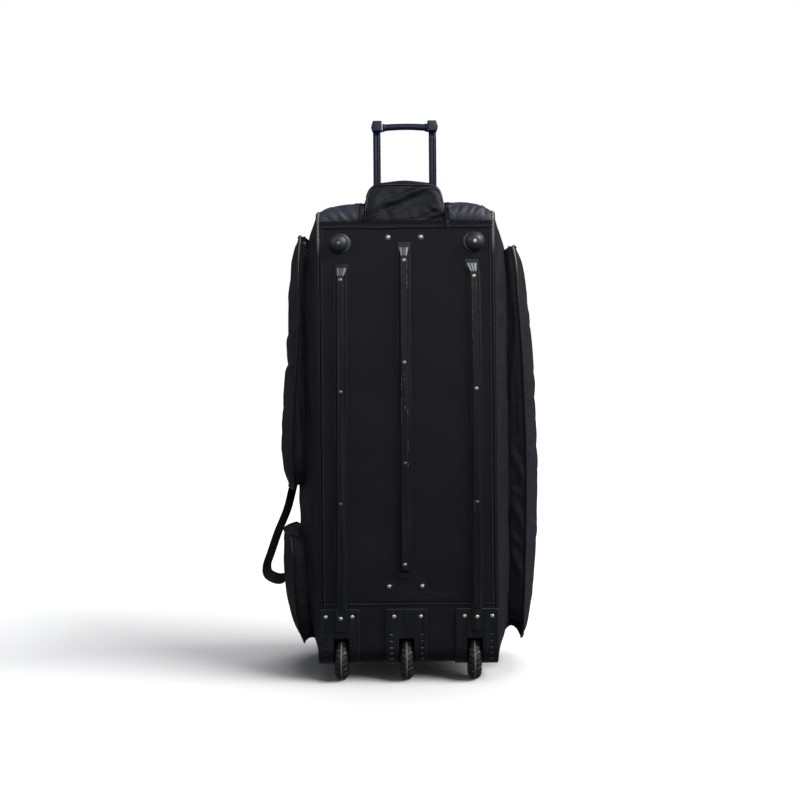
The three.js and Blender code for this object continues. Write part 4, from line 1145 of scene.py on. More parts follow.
def addPocket(pocket):
    way, trim, name = pocket["way"], pocketTrim, pocket["name"]
    face, edges, high, low = pocketFaceOf(pocket)
    flat, out, topCount = pocketLoop(edges, high, low, 4.0)

    def onFace(spot, lift=0.0):
        return xyz(way * (face(*spot.T) + lift), *spot.T)

    # face: every row runs straight from the front of the piped line to the back
    z = np.linspace(flat[:, 1].max() - 0.01, flat[:, 1].min() + 0.01, round((high - low) / 4.5))
    upper, lower = np.argmax(flat[:, 1]), np.argmin(flat[:, 1])
    order = np.roll(np.arange(len(flat)), -upper)
    turnAt = np.where(order == lower)[0][0]
    backRun, frontRun = flat[order[:turnAt + 1]], flat[order[turnAt:]]
    backY = np.interp(-z, np.maximum.accumulate(-backRun[:, 1]), backRun[:, 0])
    frontY = np.interp(z, np.maximum.accumulate(frontRun[:, 1]), frontRun[:, 0])
    share = np.linspace(0, 1, 58)
    y = frontY[:, None] + share * (backY - frontY)[:, None]
    gridZ = np.broadcast_to(z[:, None], y.shape)
    outer = xyz(way * face(y, gridZ), y, gridZ)
    middle = np.array([way * trim["insideX"], trim["insideY"], (high + low) / 2])
    held = heldEdge(outer, 3, 3)
    if "lap" in pocket:
        lapY, lapZ = pocket["lap"]
        held |= (np.abs(y - lapY) < trim["lapHalfY"]) & (np.abs(gridZ - lapZ) < trim["lapHalfZ"])
    outer = settled(outer, held, pocket["slack"] * 0.03, 0.0, pocket["cap"])
    shapes = [wall(outer, shell["cloth"], middle)]

    # gusset: straight across from the side panel to the piped line, bulged by a half wave, with its folds
    rim = onFace(flat)
    seamY, seamZ = (flat + trim["tuck"] * out).T
    seam = xyz(way * (sideX(seamY, seamZ) - 1.2), seamY, seamZ)
    across = np.linspace(0, 1, 15)[:, None]
    run = runAlong(flat[::-1])[::-1][None]
    depth = across * np.linalg.norm(rim - seam, axis=1)
    arch = 4 * across * (1 - across)
    folds = [(at, 30 * level, *rest) for at, level, *rest in pocket["gusset"]]
    soft = folded(run, depth, folds) + 0.6 * pocket["slack"] * ripple(run, depth, pocket["seed"] + 7, 60, 14)
    drawn = (trim["bulge"] + pocket["sink"]) * smoothStep((-0.35 - out[:, 1]) / 0.5)
    push = (trim["bulge"] * arch - drawn * arch ** 1.5 + soft * np.sqrt(arch))[..., None]
    outward = xyz(0, *out.T)
    strip = seam + across[..., None] * (rim - seam) + push * outward
    shapes.append(wall(strip, trim["gusset"], middle, True))
    addPiece(f"{name}_cloth", shapes, coatedCloth, name)

    pipe = onFace(flat + 0.6 * out, 0.4)
    cord = swept(pipe, circle(trim["pipe"], trim["pipeSides"]), (way, 0, 0), True)
    # painted highlight: the piping is painted pale near the top of the pocket, towards its front
    wornAndHighlight = smoothStep((pipe[:, 2] - high + 75) / 70) * smoothStep((130 - pipe[:, 1]) / 50)
    cord["wear"] = np.repeat(pocket["wornAndHighlight"] * wornAndHighlight, trim["pipeSides"])
    addPiece(f"{name}_piping", cord, pipingVinyl)
    line = onFace(flat - trim["stitchIn"] * out, 0.3)
    addPiece(f"{name}_stitches", stitchRow(line, (way, 0, 0), True), sewingThread)

    if pocket["zip"]:
        path = strip[7, 2:topCount - 2] + [0, 0, 0.6]
        addPiece(f"{name}_zip_teeth", zipTeeth(path, (0, 0, 1), trim["zipPitch"]), zipNylon)
        at = pocket["pull"]
        pull = strip[7, at] + 3.5 * outward[at] - [0, 0, 14]
        addPiece(f"{name}_zip_slider", sliderShapes(pull, -0.2 * way), blackZinc)


for pocket in pockets:
    addPocket(pocket)
print("pockets made")


# Carry strap: webbing from the foot of the upper pocket, looping back to a lap sewn on the lower one

strap = dict(
    width=28.0, thickness=2.2, lean=0.66, turnLean=0.3, leanEnd=0.9, lapGap=0.7,
    points=[(-265, 190, 407.4), (-280, 196, 352), (-302, 204, 300), (-320, 212, 250), (-331, 218, 217),
            (-329, 221, 199), (-315, 225, 188), (-299, 229, 185)],
    lap=[(231, 200), (232, 226)],
)


def throughPoints(points, steps):
    # a smooth curve through points: each span is a cubic whose end slopes follow its neighbours,
    # weighed by the square roots of the distances between them
    points = np.concatenate([[2 * points[0] - points[1]], points, [2 * points[-1] - points[-2]]])
    gaps = np.sqrt(np.linalg.norm(np.diff(points, axis=0), axis=1))[:, None]
    p0, p1, p2, p3 = points[:-3], points[1:-2], points[2:-1], points[3:]
    g0, g1, g2 = gaps[:-2], gaps[1:-1], gaps[2:]
    slope1 = ((p1 - p0) / g0 - (p2 - p0) / (g0 + g1) + (p2 - p1) / g1) * g1
    slope2 = ((p2 - p1) / g1 - (p3 - p1) / (g1 + g2) + (p3 - p2) / g2) * g1
    t = np.linspace(0, 1, steps, endpoint=False)[None, :, None]
    p1, p2, slope1, slope2 = (part[:, None] for part in (p1, p2, slope1, slope2))
    curve = (p1 * (2 * t ** 3 - 3 * t ** 2 + 1) + slope1 * (t ** 3 - 2 * t ** 2 + t)
             + p2 * (3 * t ** 2 - 2 * t ** 3) + slope2 * (t ** 3 - t ** 2))
    return np.concatenate([curve.reshape(-1, 3), points[-2:-1]])


def addStrap():
    size = strap
    lower = pocketFaceOf(pockets[1])[0]
    lap = np.array(size["lap"], float)
    lapX = -(lower(lap[:, 0], lap[:, 1]) + size["lapGap"] + size["thickness"] / 2)
    line = throughPoints(np.concatenate([np.array(size["points"], float), np.column_stack([lapX, lap])]), 12)
    share = np.linspace(0, 1, len(line))
    way = unit(np.gradient(line, axis=0))
    depth = np.array([0.0, 1.0, 0.0])
    level = unit(depth - way * (way @ depth)[:, None])
    # leans over a little more in the turn at the foot, then comes flat before the lap
    lean = size["lean"] + size["turnLean"] * smoothStep((share - 0.4) / 0.25)
    lean = (lean * smoothStep((size["leanEnd"] - share) / 0.14))[:, None]
    across = level * np.cos(lean) + np.cross(way, level) * np.sin(lean)
    up = np.cross(way, across)
    flat = np.linspace(-1, 1, 15)
    half = 0.5 * size["thickness"] * np.sqrt(1 - 0.85 * flat ** 8)[None, :, None]
    spread = line[:, None] + across[:, None] * (0.5 * size["width"] * flat)[None, :, None]
    shape = closedBetween(spread + up[:, None] * half, spread - up[:, None] * half)
    addPiece("carry_strap_webbing", shape, strapWebbing, "carry_strap")


addStrap()
print("strap made")


# Handle hood: an open-topped cloth pouch with a piped rim, and its zip slider

def hoodSurface(share, arcSteps=9, sideSteps=26):
    # rounded plan at each level, lofted from seam to rim; the rim drops at the ends by a high power
    rows = np.array(hood["rows"], float)
    half, front, back = (np.interp(share, rows[:, 0], rows[:, i]) for i in (1, 2, 3))
    plan = np.stack([roundedLoop(-h, h, f, b, r, arcSteps, sideSteps)
                     for h, f, b, r in zip(half, front, back, hoodRadius(share))])
    x, y = plan[..., 0], plan[..., 1]
    backPeak = hood["rimBack"] + hood["hump"] * np.exp(-(x / hood["humpHalf"]) ** 2)
    peak = np.where(y > (front + back)[:, None] / 2, backPeak, hood["rimFront"])
    rim = hood["rimSide"] + (peak - hood["rimSide"]) * (1 - np.abs(x / half[:, None]) ** hood["rimPower"])
    z = hood["low"] + share[:, None] * (rim - hood["low"])
    grid = xyz(hood["x"] + x, y, z)
    free = (smoothStep(share / 0.15) * smoothStep((1.02 - share) / 0.15))[:, None, None]
    facing = np.where(y < 30, 1.0, -1.0)
    soft = folded(x, z - hood["low"], hood["folds"]) + 0.35 * ripple(x + 0.7 * y, z, 51, 70, 16)
    return grid + outNormals(grid, hood["middle"], True) * (soft * facing)[..., None] * free


def addHood():
    share = np.linspace(0, 1, 34)
    outer = hoodSurface(share)
    outer = settled(outer, heldEdge(outer, 3, 0), hood["slack"], 0.0, 4.0, True, 3.0)
    pouch = wall(outer, shell["cloth"], hood["middle"], True)
    addPiece("hood_cloth", pouch, hoodCloth, "handle_hood")
    rim = outer[-1] + unit(outer[-1] - outer[-3]) * 0.3
    cords = [swept(rim, circle(0.6 * hood["pipe"], 8), (0, 0, 1), True)]
    # the front panel's seam: up one front corner, across the rim and down the other, with the turns eased
    right, left = 5, 110
    edge = np.concatenate([outer[1:29, left], rim[left:], rim[:right + 1], outer[28:0:-1, right]])
    for _ in range(10):
        edge[1:-1] = (edge[:-2] + 2 * edge[1:-1] + edge[2:]) / 4
    cords.append(swept(edge, circle(hood["pipe"], 8), (0, 1, 0)))
    cords = joined(cords)
    cords["wear"] = np.zeros(len(cords["points"]))
    addPiece("hood_piping", cords, pipingVinyl)
    addPiece("hood_stitches", stitchRow(outer[-4], (0, 0, 1), True), sewingThread)


slider = dict(place=(95.0, -6.0, 1019.0), tilt=0.3, tab=(91.0, -7.4, 994.5), tabHalf=3.4, tabTall=9.0)


def addSliderTab():
    # a flat ribbon tab with rounded corners and edges: one rounded outline at four depths
    size = slider
    outline = roundedLoop(-size["tabHalf"], size["tabHalf"], -size["tabTall"], size["tabTall"], 2.4, 5, 4)
    rings = [xyz(outline[:, 0] * wide, deep, outline[:, 1] * wide)
             for deep, wide in ((-1.1, 0.88), (-0.6, 1.0), (0.6, 1.0), (1.1, 0.88))]
    tab = moved(tubeOf(np.stack(rings)), size["tab"])
    addPiece("hood_slider_tab", tab, strapWebbing, sharp=40)


addHood()
addSliderTab()
addPiece("hood_slider", sliderShapes(slider["place"], slider["tilt"]), blackZinc, "hood_zip_slider")
print("hood made")


# Pull handle: two enamelled tubes, two end blocks and an arched grip

handle = dict(y=26.0, tubeX=61.0, tubeHalf=8.25, tubeDepth=6.0, wall=1.4, low=640.0, blockLow=1201.0,
              inner=48.0, outer=73.5, gripTop=1218.0, gripLow=1200.0, gripDepth=8.5, gripEnds=(-48.6, 49.6))


def addTube(name, way):
    size = handle
    # a drawn tube: a rounded square with a bell-shaped groove down the middle of its front and back
    loop = circle(1.0, 96)
    loop = np.sign(loop) * np.abs(loop) ** 0.62 * [size["tubeHalf"], size["tubeDepth"]]
    loop[:, 1] -= np.sign(loop[:, 1]) * np.exp(-(loop[:, 0] / 2.0) ** 2)
    z = np.linspace(size["low"], size["blockLow"] - 0.4, 40)
    outer = xyz(loop[:, 0] + way * size["tubeX"], loop[:, 1] + size["y"], z[:, None])
    middle = [way * size["tubeX"], size["y"], (size["low"] + size["blockLow"]) / 2]
    addPiece(f"handle_tube_{name}_enamel", wall(outer, size["wall"], middle, True), enamelTube,
             f"handle_tube_{name}", "pull_handle")


def addHandleEnd(name, way):
    # rounded rings stacked from the foot, out to a ridge on the outer side and in again to a softened top:
    # height, reach outwards, reach inwards and half depth
    size = handle
    centre = way * (size["inner"] + size["outer"]) / 2
    levels = [(0, 9.6, 11.4, 10.4), (0.4, 10.0, 11.9, 10.8), (0.9, 10.2, 12.0, 10.9), (3.4, 10.9, 11.3, 11),
              (8.2, 12.3, 11.0, 11), (8.8, 12.4, 11.0, 11), (9.4, 12.3, 11.0, 11), (20.4, 9.0, 10.7, 10.8),
              (21.3, 8.8, 10.6, 10.7), (22.1, 8.4, 10.2, 10.3), (22.5, 7.7, 9.5, 9.6)]
    rings = []
    for up, outer, inner, halfY in levels:
        left, right = (-outer, inner) if way < 0 else (-inner, outer)
        ring = roundedLoop(left, right, -halfY, halfY, 1.6, 5, 3)
        rings.append(xyz(ring[:, 0] + centre, ring[:, 1] + size["y"], size["blockLow"] + up))
    addPiece(f"handle_end_{name}", tubeOf(np.stack(rings)), handlePlastic, f"handle_corner_{name}",
             "pull_handle", 26)


def addGrip():
    # elliptic rings along x whose top and foot rise in an arch, with a raised collar near each end
    size = handle
    left, right = size["gripEnds"]
    share = spaced(-1, (-0.96, 2), (-0.9, 3), (-0.86, 3), (0.86, 44), (0.9, 3), (0.96, 3), (1, 2))
    arch = 1 - share ** 2
    high, low = size["gripTop"] + 1.5 * arch, size["gripLow"] + 3 * arch
    collar = 1 - 0.16 * smoothStep((0.93 - np.abs(share)) / 0.05)
    collar = collar - 0.1 * smoothStep((np.abs(share) - 0.97) / 0.03)
    ribs = 1 + 0.012 * np.cos(share * 70) * smoothStep((0.7 - np.abs(share)) / 0.1)
    turn = fullTurn(28)
    flatten = np.sign(np.sin(turn)) * np.abs(np.sin(turn)) ** 0.8
    deep = (size["gripDepth"] * collar * ribs)[:, None] * np.cos(turn)
    tall = ((high - low) / 2 * collar * ribs)[:, None] * flatten
    x = left + (right - left) * (share + 1) / 2
    rings = xyz(x[:, None], size["y"] + deep, ((high + low) / 2)[:, None] + tall)
    addPiece("handle_grip_bar", tubeOf(rings), handlePlastic, "handle_grip",
             "pull_handle", 50)


for name, way in (("left", -1), ("right", 1)):
    addTube(name, way)
    addHandleEnd(name, way)
addGrip()
print("handle made")


# Skid rails: a ribbed hump on a thin flange, ramped off at the upper end, with a flat tab over the housing

railSize = dict(halfFlange=15.0, flange=2.5, crest=10.0, ramp=23.0, rampInset=7.0, fanHalf=10.0, fanBase=11.8,
                groove=1.2, blunt=0.9, corner=5.0, halfTab=12.0, tab=3.4, tabCorner=4.0, tabLap=7.0)
# slope: how far the left flank's foot moves out and its top moves in
# bend: heights and the sideways shift there
# fan: heights and painted highlight of the three bars
# pale streaks painted along the rail: section line, heights and strength of each broken streak
# rivets: height and share of a darker brown-grey painted on the head
rails = [
    dict(name="rail_left", x=-145.0, low=111.0, high=909.0, slope=(0.0, 0.0),
         bend=((111, 388, 631, 880, 902, 909), (-3.0, -1.0, 1.2, 2.6, 6.0, 6.3)),
         fan=((883, 901), (0.27, 0.23, 0.5)), paleStreaks=(),
         rivets=((874.7, 0.55), (631.5, 0.75), (388, 0.92), (140, 0.1))),
    dict(name="rail_centre", x=-6.0, low=224.0, high=956.0, slope=(1.5, 0.6),
         bend=((224, 476, 694, 918, 956), (-1.8, 0.6, 0.8, 1.6, 2.2)),
         fan=((925, 945), (0.38, 0.24, 0.62)),
         paleStreaks=((7, 928, 856, 1.0), (0, 676, 654, 0.35), (-7, 670, 562, 0.6), (1.4, 618, 572, 0.5),
                 (7, 602, 563, 1.0), (7, 526, 498, 0.85), (7, 480, 470, 0.6)),
         rivets=((916.2, 0.35), (694.6, 0.5), (476, 0.9), (256.5, 0.5))),
    dict(name="rail_right", x=147.0, low=112.0, high=918.0, slope=(2.8, 1.8),
         bend=((112, 391, 637, 880, 911, 918), (1.0, 3.2, 3.4, 0.3, -3.9, -4.2)),
         fan=((891, 910), (0.45, 0.65, 0.7)),
         paleStreaks=((-5, 876, 846, 0.14), (5, 880, 850, 0.15), (-7, 830, 750, 0.55), (-7, 400, 372, 0.5)),
         rivets=((881, 0.2), (637, 0.4), (391, 0.88), (142, 0.0))),
]
paleStreakDraw = np.random.default_rng(41)
# lines of the section from its middle outwards, the same on both sides
railColumns = np.array([0, 1.4, 1.8, 2.34, 2.9, 3.3, 5, 6.7, 7, 7.4, 9, 10.6, 11, 11.4, 13.6, 14.1, 14.4,
                        14.7, 15])
housing = dict(top=160.0, face=-4.0, plate=3.6, reach=92.0, radius=7.0, slotHalf=16.5, wallThick=2.2,
               wellTop=97.0, wellBack=76.0, wellLow=34.0, wellFront=-1.0, arcY=38.0, arcZ=74.0, arc=42.0,
               ventHalf=5.0, ventTall=1.7, ventDeep=1.3, levels=(106.5, 92.0, 78.0, 65.0, 52.0), rivetZ=143.0)


def railMiddle(rail, z):
    # the rails aren't quite straight: the middle line runs straight from each given shift to the next
    return rail["x"] + np.interp(z, *rail["bend"])


def addRail(rail):
    # A flat crest between two slanted flanks, lowered by the ramp at the upper end and never below the
    # flange. Two grooves part the crest into three bars, which fan out up the ramp. The columns keep to the
    # same lines of the section, so the crest's edges are spread to where each height has them.
    size = railSize
    overHousing = rail["low"] < housing["top"]
    low, high = housing["top"] + shell["seat"] if overHousing else rail["low"], rail["high"]
    column = np.concatenate([-railColumns[:0:-1], railColumns])
    rampTop = high - size["rampInset"]
    z = spaced(low, (low + 0.9, 4), (low + 24, 16), (rampTop - size["ramp"] - 1, 170), (rampTop - 0.6, 24),
               (rampTop, 3), (high - 0.9, 6), (high, 4))
    climb = np.clip((rampTop - z) / size["ramp"], 0, 1)
    spread = smoothStep(1 - climb)
    foot, shoulder = (reach * (1 - spread) for reach in rail["slope"])
    crest = 7 + (size["fanHalf"] - 7) * spread
    base = 11 + (size["fanBase"] - 11) * spread
    edge = np.full_like(z, size["halfFlange"])
    knots = np.stack([-edge, -base - foot, -crest + shoulder, crest, base, edge], 1)
    marks = np.array([-15.0, -11, -7, 7, 11, 15])
    part = np.clip(np.searchsorted(marks, column, "right") - 1, 0, 4)
    share = (column - marks[part]) / (marks[part + 1] - marks[part])
    x = knots[:, part] * (1 - share) + knots[:, part + 1] * share
    rise = size["crest"] - size["flange"]
    hump = np.clip((11 - np.abs(column)) / 4, 0, 1)
    groove = np.clip((np.abs(column) - 1.4) / 0.4, 0, 1) * np.clip((3.3 - np.abs(column)) / 0.4, 0, 1)
    ramp = rise * climb + size["blunt"] * np.clip((rampTop - z) / 0.6, 0, 1)
    height = np.minimum(rise * hump[None], ramp[:, None]) - size["groove"] * groove
    if not overHousing:
        height = np.minimum(height, rise * np.clip((z - low - 15) / 5, 0, 1)[:, None])
    gridZ = np.broadcast_to(z[:, None], x.shape)
    toEnd = np.minimum(gridZ - low, high - gridZ)
    rim = np.minimum(size["halfFlange"] - np.abs(x), toEnd)
    height = size["flange"] + np.maximum(height, 0) - edgeDrop(rim, 0.9)
    placedX = railMiddle(rail, gridZ) + x * narrowed(toEnd, size["halfFlange"], size["corner"])
    outer = xyz(placedX, -shell["seat"] - height, gridZ)
    # painted highlight: the three bars up the ramp are painted pale where the ramp catches the light, the
    # grooves between them are not
    (fanLow, fanHigh), bars = rail["fan"]
    onFan = smoothStep((z - fanLow) / 2.5) * smoothStep((fanHigh - z) / 1.2)
    bar = np.searchsorted((-2.3, 2.3), column)
    paintedTone = onFan[:, None] * np.array(bars)[bar] * (np.abs(column) <= 7) * (1 - groove)
    # each streak keeps to one line of the section and is broken by a random share at each height
    for line, top, bottom, wear in rail["paleStreaks"]:
        broken = smoothStep((paleStreakDraw.random(len(z)) - 0.35) / 0.6) * (z > bottom) * (z < top)
        paintedTone = np.maximum(paintedTone, wear * broken[:, None] * (column == line))
    shapes = [closedBetween(outer, flatBack(outer, -shell["seat"]), wear=paintedTone)]
    if overHousing:
        shapes.append(platePiece(
            railMiddle(rail, rail["low"]), size["halfTab"], rail["low"], housing["top"] + size["tabLap"],
            housing["face"] - shell["seat"], size["tab"], size["tabCorner"],
        ))
    addPiece(f"{rail['name']}_moulding", shapes, mouldedPlastic, rail["name"], sharp=28)


def platePiece(x, half, low, high, back, thickness, radius):
    # a flat plate with rounded corners and rounded edges, facing the viewer
    across = spaced(-1, (-0.98, 2), (-0.92, 3), (0.92, 6), (0.98, 3), (1, 2))
    z = spaced(low, (low + 0.4, 2), (low + 1, 2), (low + radius, 4), (high - radius, 6), (high - 1, 4),
               (high - 0.4, 2), (high, 2))
    gridX, gridZ = np.meshgrid(across * half, z)
    toEnd = np.minimum(gridZ - low, high - gridZ)
    edge = np.minimum(half - np.abs(gridX), toEnd)
    placedX = x + gridX * narrowed(toEnd, half, radius)
    outer = xyz(placedX, back - thickness + edgeDrop(edge, 1.0), gridZ)
    return closedBetween(outer, flatBack(outer, back))


for rail in rails:
    addRail(rail)
print("rails made")


# Wheel housings: a plate that wraps the lower edge, with a wheel slot, vents and a well behind it

# the last value of each is how strongly the vent lips are painted pale as a highlight
corners = [
    dict(name="left", x=-147.0, left=-197.0, right=-107.0, vents=(-182.0,), rivets=(-181.0, -123.0),
         paintedTone=0.15),
    dict(name="centre", x=-5.0, left=-51.0, right=40.0, vents=(-38.0, 28.0), rivets=(-32.0, 26.0),
         paintedTone=0.5),
    dict(name="right", x=143.0, left=101.0, right=195.0, vents=(180.0,), rivets=(121.0, 181.0),
         paintedTone=0.4),
]


def housingPath(down):
    # from the plate's top straight down, round a quarter circle, then straight back under the bag:
    # place and way out at a distance along
    size = housing
    straight = size["top"] - size["arcZ"]
    bend = 0.5 * np.pi * size["arc"]
    turn = np.clip((down - straight) / size["arc"], 0, np.pi / 2)
    way = np.stack([-np.cos(turn), -np.sin(turn)], -1)
    y = size["arcY"] + size["arc"] * way[..., 0] + np.maximum(down - straight - bend, 0)
    z = size["arcZ"] + size["arc"] * way[..., 1] + np.maximum(straight - down, 0)
    return y, z, way


def addHousing(corner):
    size = housing
    straight, bend = size["top"] - size["arcZ"], 0.5 * np.pi * size["arc"]
    length = straight + bend + size["reach"] - size["arcY"]
    slotTop = size["top"] - (size["wellTop"] - size["wallThick"])
    slotEnd = straight + bend + size["wellBack"] - size["wallThick"] - size["arcY"]
    ventDown = [
        size["top"] - level if level > size["arcZ"]
        else straight + size["arc"] * math.asin((size["arcZ"] - level) / size["arc"])
        for level in size["levels"]
    ]
    # the grid's lines: even ones, close ones at every rounded edge and a pair at every side of a vent
    edges = np.array([0, 0.25, 0.7, 1.5])
    stops = [*edges, *np.linspace(4, length - 3, 60), *(length - edges), *(slotTop - edges),
             *(slotEnd + edges)]
    stops += [at + way * (size["ventTall"] + off) for at in ventDown for way in (-1, 1) for off in (0, 0.2)]
    down = np.unique(np.round(stops, 3))
    left, right, slotHalf = corner["left"], corner["right"], size["slotHalf"]
    stops = [*np.linspace(left + 3, right - 3, 22), *(left + edges), *(right - edges)]
    stops += [corner["x"] + way * (slotHalf + off) for way in (-1, 1) for off in edges]
    stops += [vent + way * (size["ventHalf"] + off)
              for vent in corner["vents"] for way in (-1, 1) for off in (-0.2, 0)]
    x = np.unique(np.round(stops, 3))
    gridX, gridDown = np.meshgrid(x, down)
    toSlot = np.maximum(slotTop - gridDown, gridDown - slotEnd)
    toSlot = np.maximum(np.abs(gridX - corner["x"]) - slotHalf, toSlot)
    toEdge = np.minimum(np.minimum(gridX - left, right - gridX), gridDown)
    drop = np.maximum(edgeDrop(toEdge, 1.5), edgeDrop(toSlot, 1.2))
    lipHighlight = np.zeros_like(drop)
    # every vent is a sunk slit with a raised lip under it, a bell across its line, with a pale painted
    # highlight in its middle
    for vent in corner["vents"]:
        fromVent = np.abs(gridX - vent)
        for at in ventDown:
            inside = fromVent <= size["ventHalf"] - 0.19
            inside &= np.abs(gridDown - at) <= size["ventTall"] + 0.01
            lip = 0.5 * np.exp(-((gridDown - at - 2.2) / 0.8) ** 2) * (fromVent < size["ventHalf"])
            drop = np.where(inside, size["ventDeep"], drop - lip)
            lipHighlight = np.maximum(lipHighlight, np.where(inside, 0, 2 * lip) * (fromVent < 0.6 * size["ventHalf"]))
    centre, half = (left + right) / 2, (right - left) / 2
    y, z, way = housingPath(gridDown)
    placedX = centre + (gridX - centre) * narrowed(gridDown, half, size["radius"])
    outer, inner = (xyz(placedX, y - way[..., 0] * deep, z - way[..., 1] * deep)
                    for deep in (drop, size["plate"]))
    besideSlot = np.abs(between(x) - corner["x"]) >= slotHalf
    pastSlot = (between(down) <= slotTop) | (between(down) >= slotEnd)
    keep = besideSlot[None] | pastSlot[:, None]
    shapes = [closedBetween(outer, inner, keep=keep, wear=corner["paintedTone"] * lipHighlight)]

    # well: two cheeks cut to the corner's curve, a roof and a back
    y, z = np.meshgrid(np.linspace(size["wellFront"], size["wellBack"], 27),
                       np.linspace(size["wellLow"], size["wellTop"], 24))
    midY, midZ = cellMiddles(y), cellMiddles(z)
    beyond = np.hypot(midY - size["arcY"], midZ - size["arcZ"]) > size["arc"] - 2.4
    keep = ~(beyond & (midY < size["arcY"]) & (midZ < size["arcZ"]))
    for side in (-1, 1):
        near = xyz(corner["x"] + side * slotHalf, y, z)
        shapes.append(closedBetween(near + [side * size["wallThick"], 0, 0], near, keep=keep))
    wide = [corner["x"] - slotHalf, corner["x"] + slotHalf]
    roof = xyz(wide, np.array([[size["wellFront"]], [size["wellBack"]]]), size["wellTop"])
    shapes.append(closedBetween(roof, roof - [0, 0, size["wallThick"]]))
    back = xyz(wide, size["wellBack"], np.array([[size["wellLow"]], [size["wellTop"]]]))
    shapes.append(closedBetween(back, back - [0, size["wallThick"], 0]))
    addPiece(f"housing_{corner['name']}_moulding", shapes, mouldedPlastic, f"wheel_housing_{corner['name']}",
             sharp=32)


# Wheels: a solid tyre with shoulder blocks on a dished hub, and the pin it turns on

wheel = dict(radius=44.0, y=26.0, z=44.0, halfTyre=14.5, halfHub=16.0, bore=4.4, blocks=20, groove=2.4,
             pinHalf=18.4)


def addWheel(corner):
    size = wheel
    across = np.concatenate([-np.geomspace(size["halfTyre"], 3.2, 14), np.linspace(-2.4, 2.4, 9),
                             np.geomspace(3.2, size["halfTyre"], 14)])
    tyre = size["radius"] - 10 * np.abs(across / size["halfTyre"]) ** 3.2
    cheek = np.array([(-size["halfHub"], size["bore"]), (-size["halfHub"], 9.2), (-15.4, 10.2), (-12.4, 12.4),
                      (-11.4, 15.0), (-11.8, 27.0), (-13.0, 30.6)])
    profile = np.concatenate([cheek, np.stack([across, tyre], 1), cheek[::-1] * [-1, 1]])
    turn = fullTurn(size["blocks"] * 9)
    x, radius = profile[:, :1], profile[:, 1:]
    onTread = (radius > 33) & (np.abs(x) <= size["halfTyre"])
    # shoulder grooves: a square wave round the wheel, half a block apart on the two sides, faded in between
    phase = (turn[None] * size["blocks"] / (2 * np.pi) + np.where(x > 0, 0.5, 0) + 0.03 * np.abs(x)) % 1
    groove = smoothStep((0.2 - np.abs(phase - 0.5)) / 0.07) * smoothStep((np.abs(x) - 3.0) / 1.4)
    line = 0.35 * np.exp(-(x / 0.6) ** 2)
    ring = 0.7 * np.exp(-((np.abs(x) - 8.6) / 0.7) ** 2)
    r = radius + np.where(onTread, line - 0.35 - ring - size["groove"] * groove, 0)
    rings = xyz(x + corner["x"], size["y"] + r * np.cos(turn), size["z"] + r * np.sin(turn))
    shape = tubeOf(rings, True)
    # dust: a narrow bell on the mould line and a broad faint one on the block tops
    dust = 0.75 * np.exp(-(x / 1.0) ** 2) + (0.1 - 0.09 * groove) * np.exp(-(x / 9) ** 2)
    shape["wear"] = np.clip(np.where(onTread, dust, 0.01), 0, 1).reshape(-1)
    name = corner["name"]
    addPiece(f"wheel_{name}_tyre", shape, tyreRubber, f"wheel_{name}",
             f"wheel_{name}_body", 40)
    ends = np.array([(0.0, -1), (3.4, -1), (4.0, -0.96), (4.0, 0.96), (3.4, 1), (0.0, 1)])
    pin = turned(ends * [1, size["pinHalf"]], 24)
    pin["points"] = pin["points"][:, [1, 2, 0]] + [corner["x"], size["y"], size["z"]]
    addPiece(f"axle_{name}_pin", pin, platedSteel, f"axle_{name}", sharp=40)


for corner in corners:
    addHousing(corner)
    addWheel(corner)
print("wheels made")


# Fasteners: domed rivet heads, washers under the frame bolts, and the two domed feet

rivetSize = dict(radius=4.3, height=2.2)
frameBolts = [(-38.0, 967.0), (33.0, 967.0), (-42.0, 208.0), (30.0, 208.0)]


def rivetHead(x, face, z):
    # a low dome with a rolled rim and a shallow dimple where the mandrel broke off
    radius, height = rivetSize["radius"], rivetSize["height"]
    profile = np.array([(0, 0), (1, 0), (1, 0.5), (0.93, 0.95), (0.78, 1.55), (0.56, 2.1), (0.38, height),
                        (0.3, height), (0.24, 1.7), (0, 1.6)])
    return moved(turned(profile * [radius, 1], 24), (x, face, z))


def addRivet(name, head):
    addPiece(f"{name}_head", head, platedSteel, name, sharp=35)


def addRivets():
    seat = shell["seat"]
    for i, (x, z) in enumerate(frameBolts):
        face = -baseFace(np.array([x]), np.array([z]))[0]
        name = f"frame_bolt_{i + 1}"
        addRivet(name, rivetHead(x, face - 0.6, z))
        washer = turned([(0, 0), (6.6, 0), (6.8, 0.2), (6.8, 0.5), (6.4, 0.8), (0, 0.8)], 28)
        addPiece(f"{name}_washer", moved(washer, (x, face, z)), blackZinc, sharp=35)
    for rail in rails:
        for i, (z, darkShare) in enumerate(rail["rivets"]):
            onTab = z < housing["top"]
            face = housing["face"] - seat - railSize["tab"] if onTab else -seat - railSize["crest"] + 0.8
            head = rivetHead(railMiddle(rail, z), face, z)
            head["wear"] = np.full(len(head["points"]), darkShare)
            addRivet(f"{rail['name']}_rivet_{i + 1}", head)
    for corner in corners:
        for i, x in enumerate(corner["rivets"]):
            head = rivetHead(x, housing["face"], housing["rivetZ"])
            addRivet(f"housing_{corner['name']}_rivet_{i + 1}", head)


feet = [dict(name="left", x=-141.0, z=954.0, way=-1, darkShare=0.7),
        dict(name="right", x=146.0, z=956.0, way=1, darkShare=0.1)]
footSize = dict(flange=22.2, thick=3.5, rim=3.0, dome=20.0, height=19.0, offX=4.0, offZ=0.6, hole=5.7,
                holeDeep=3.0)


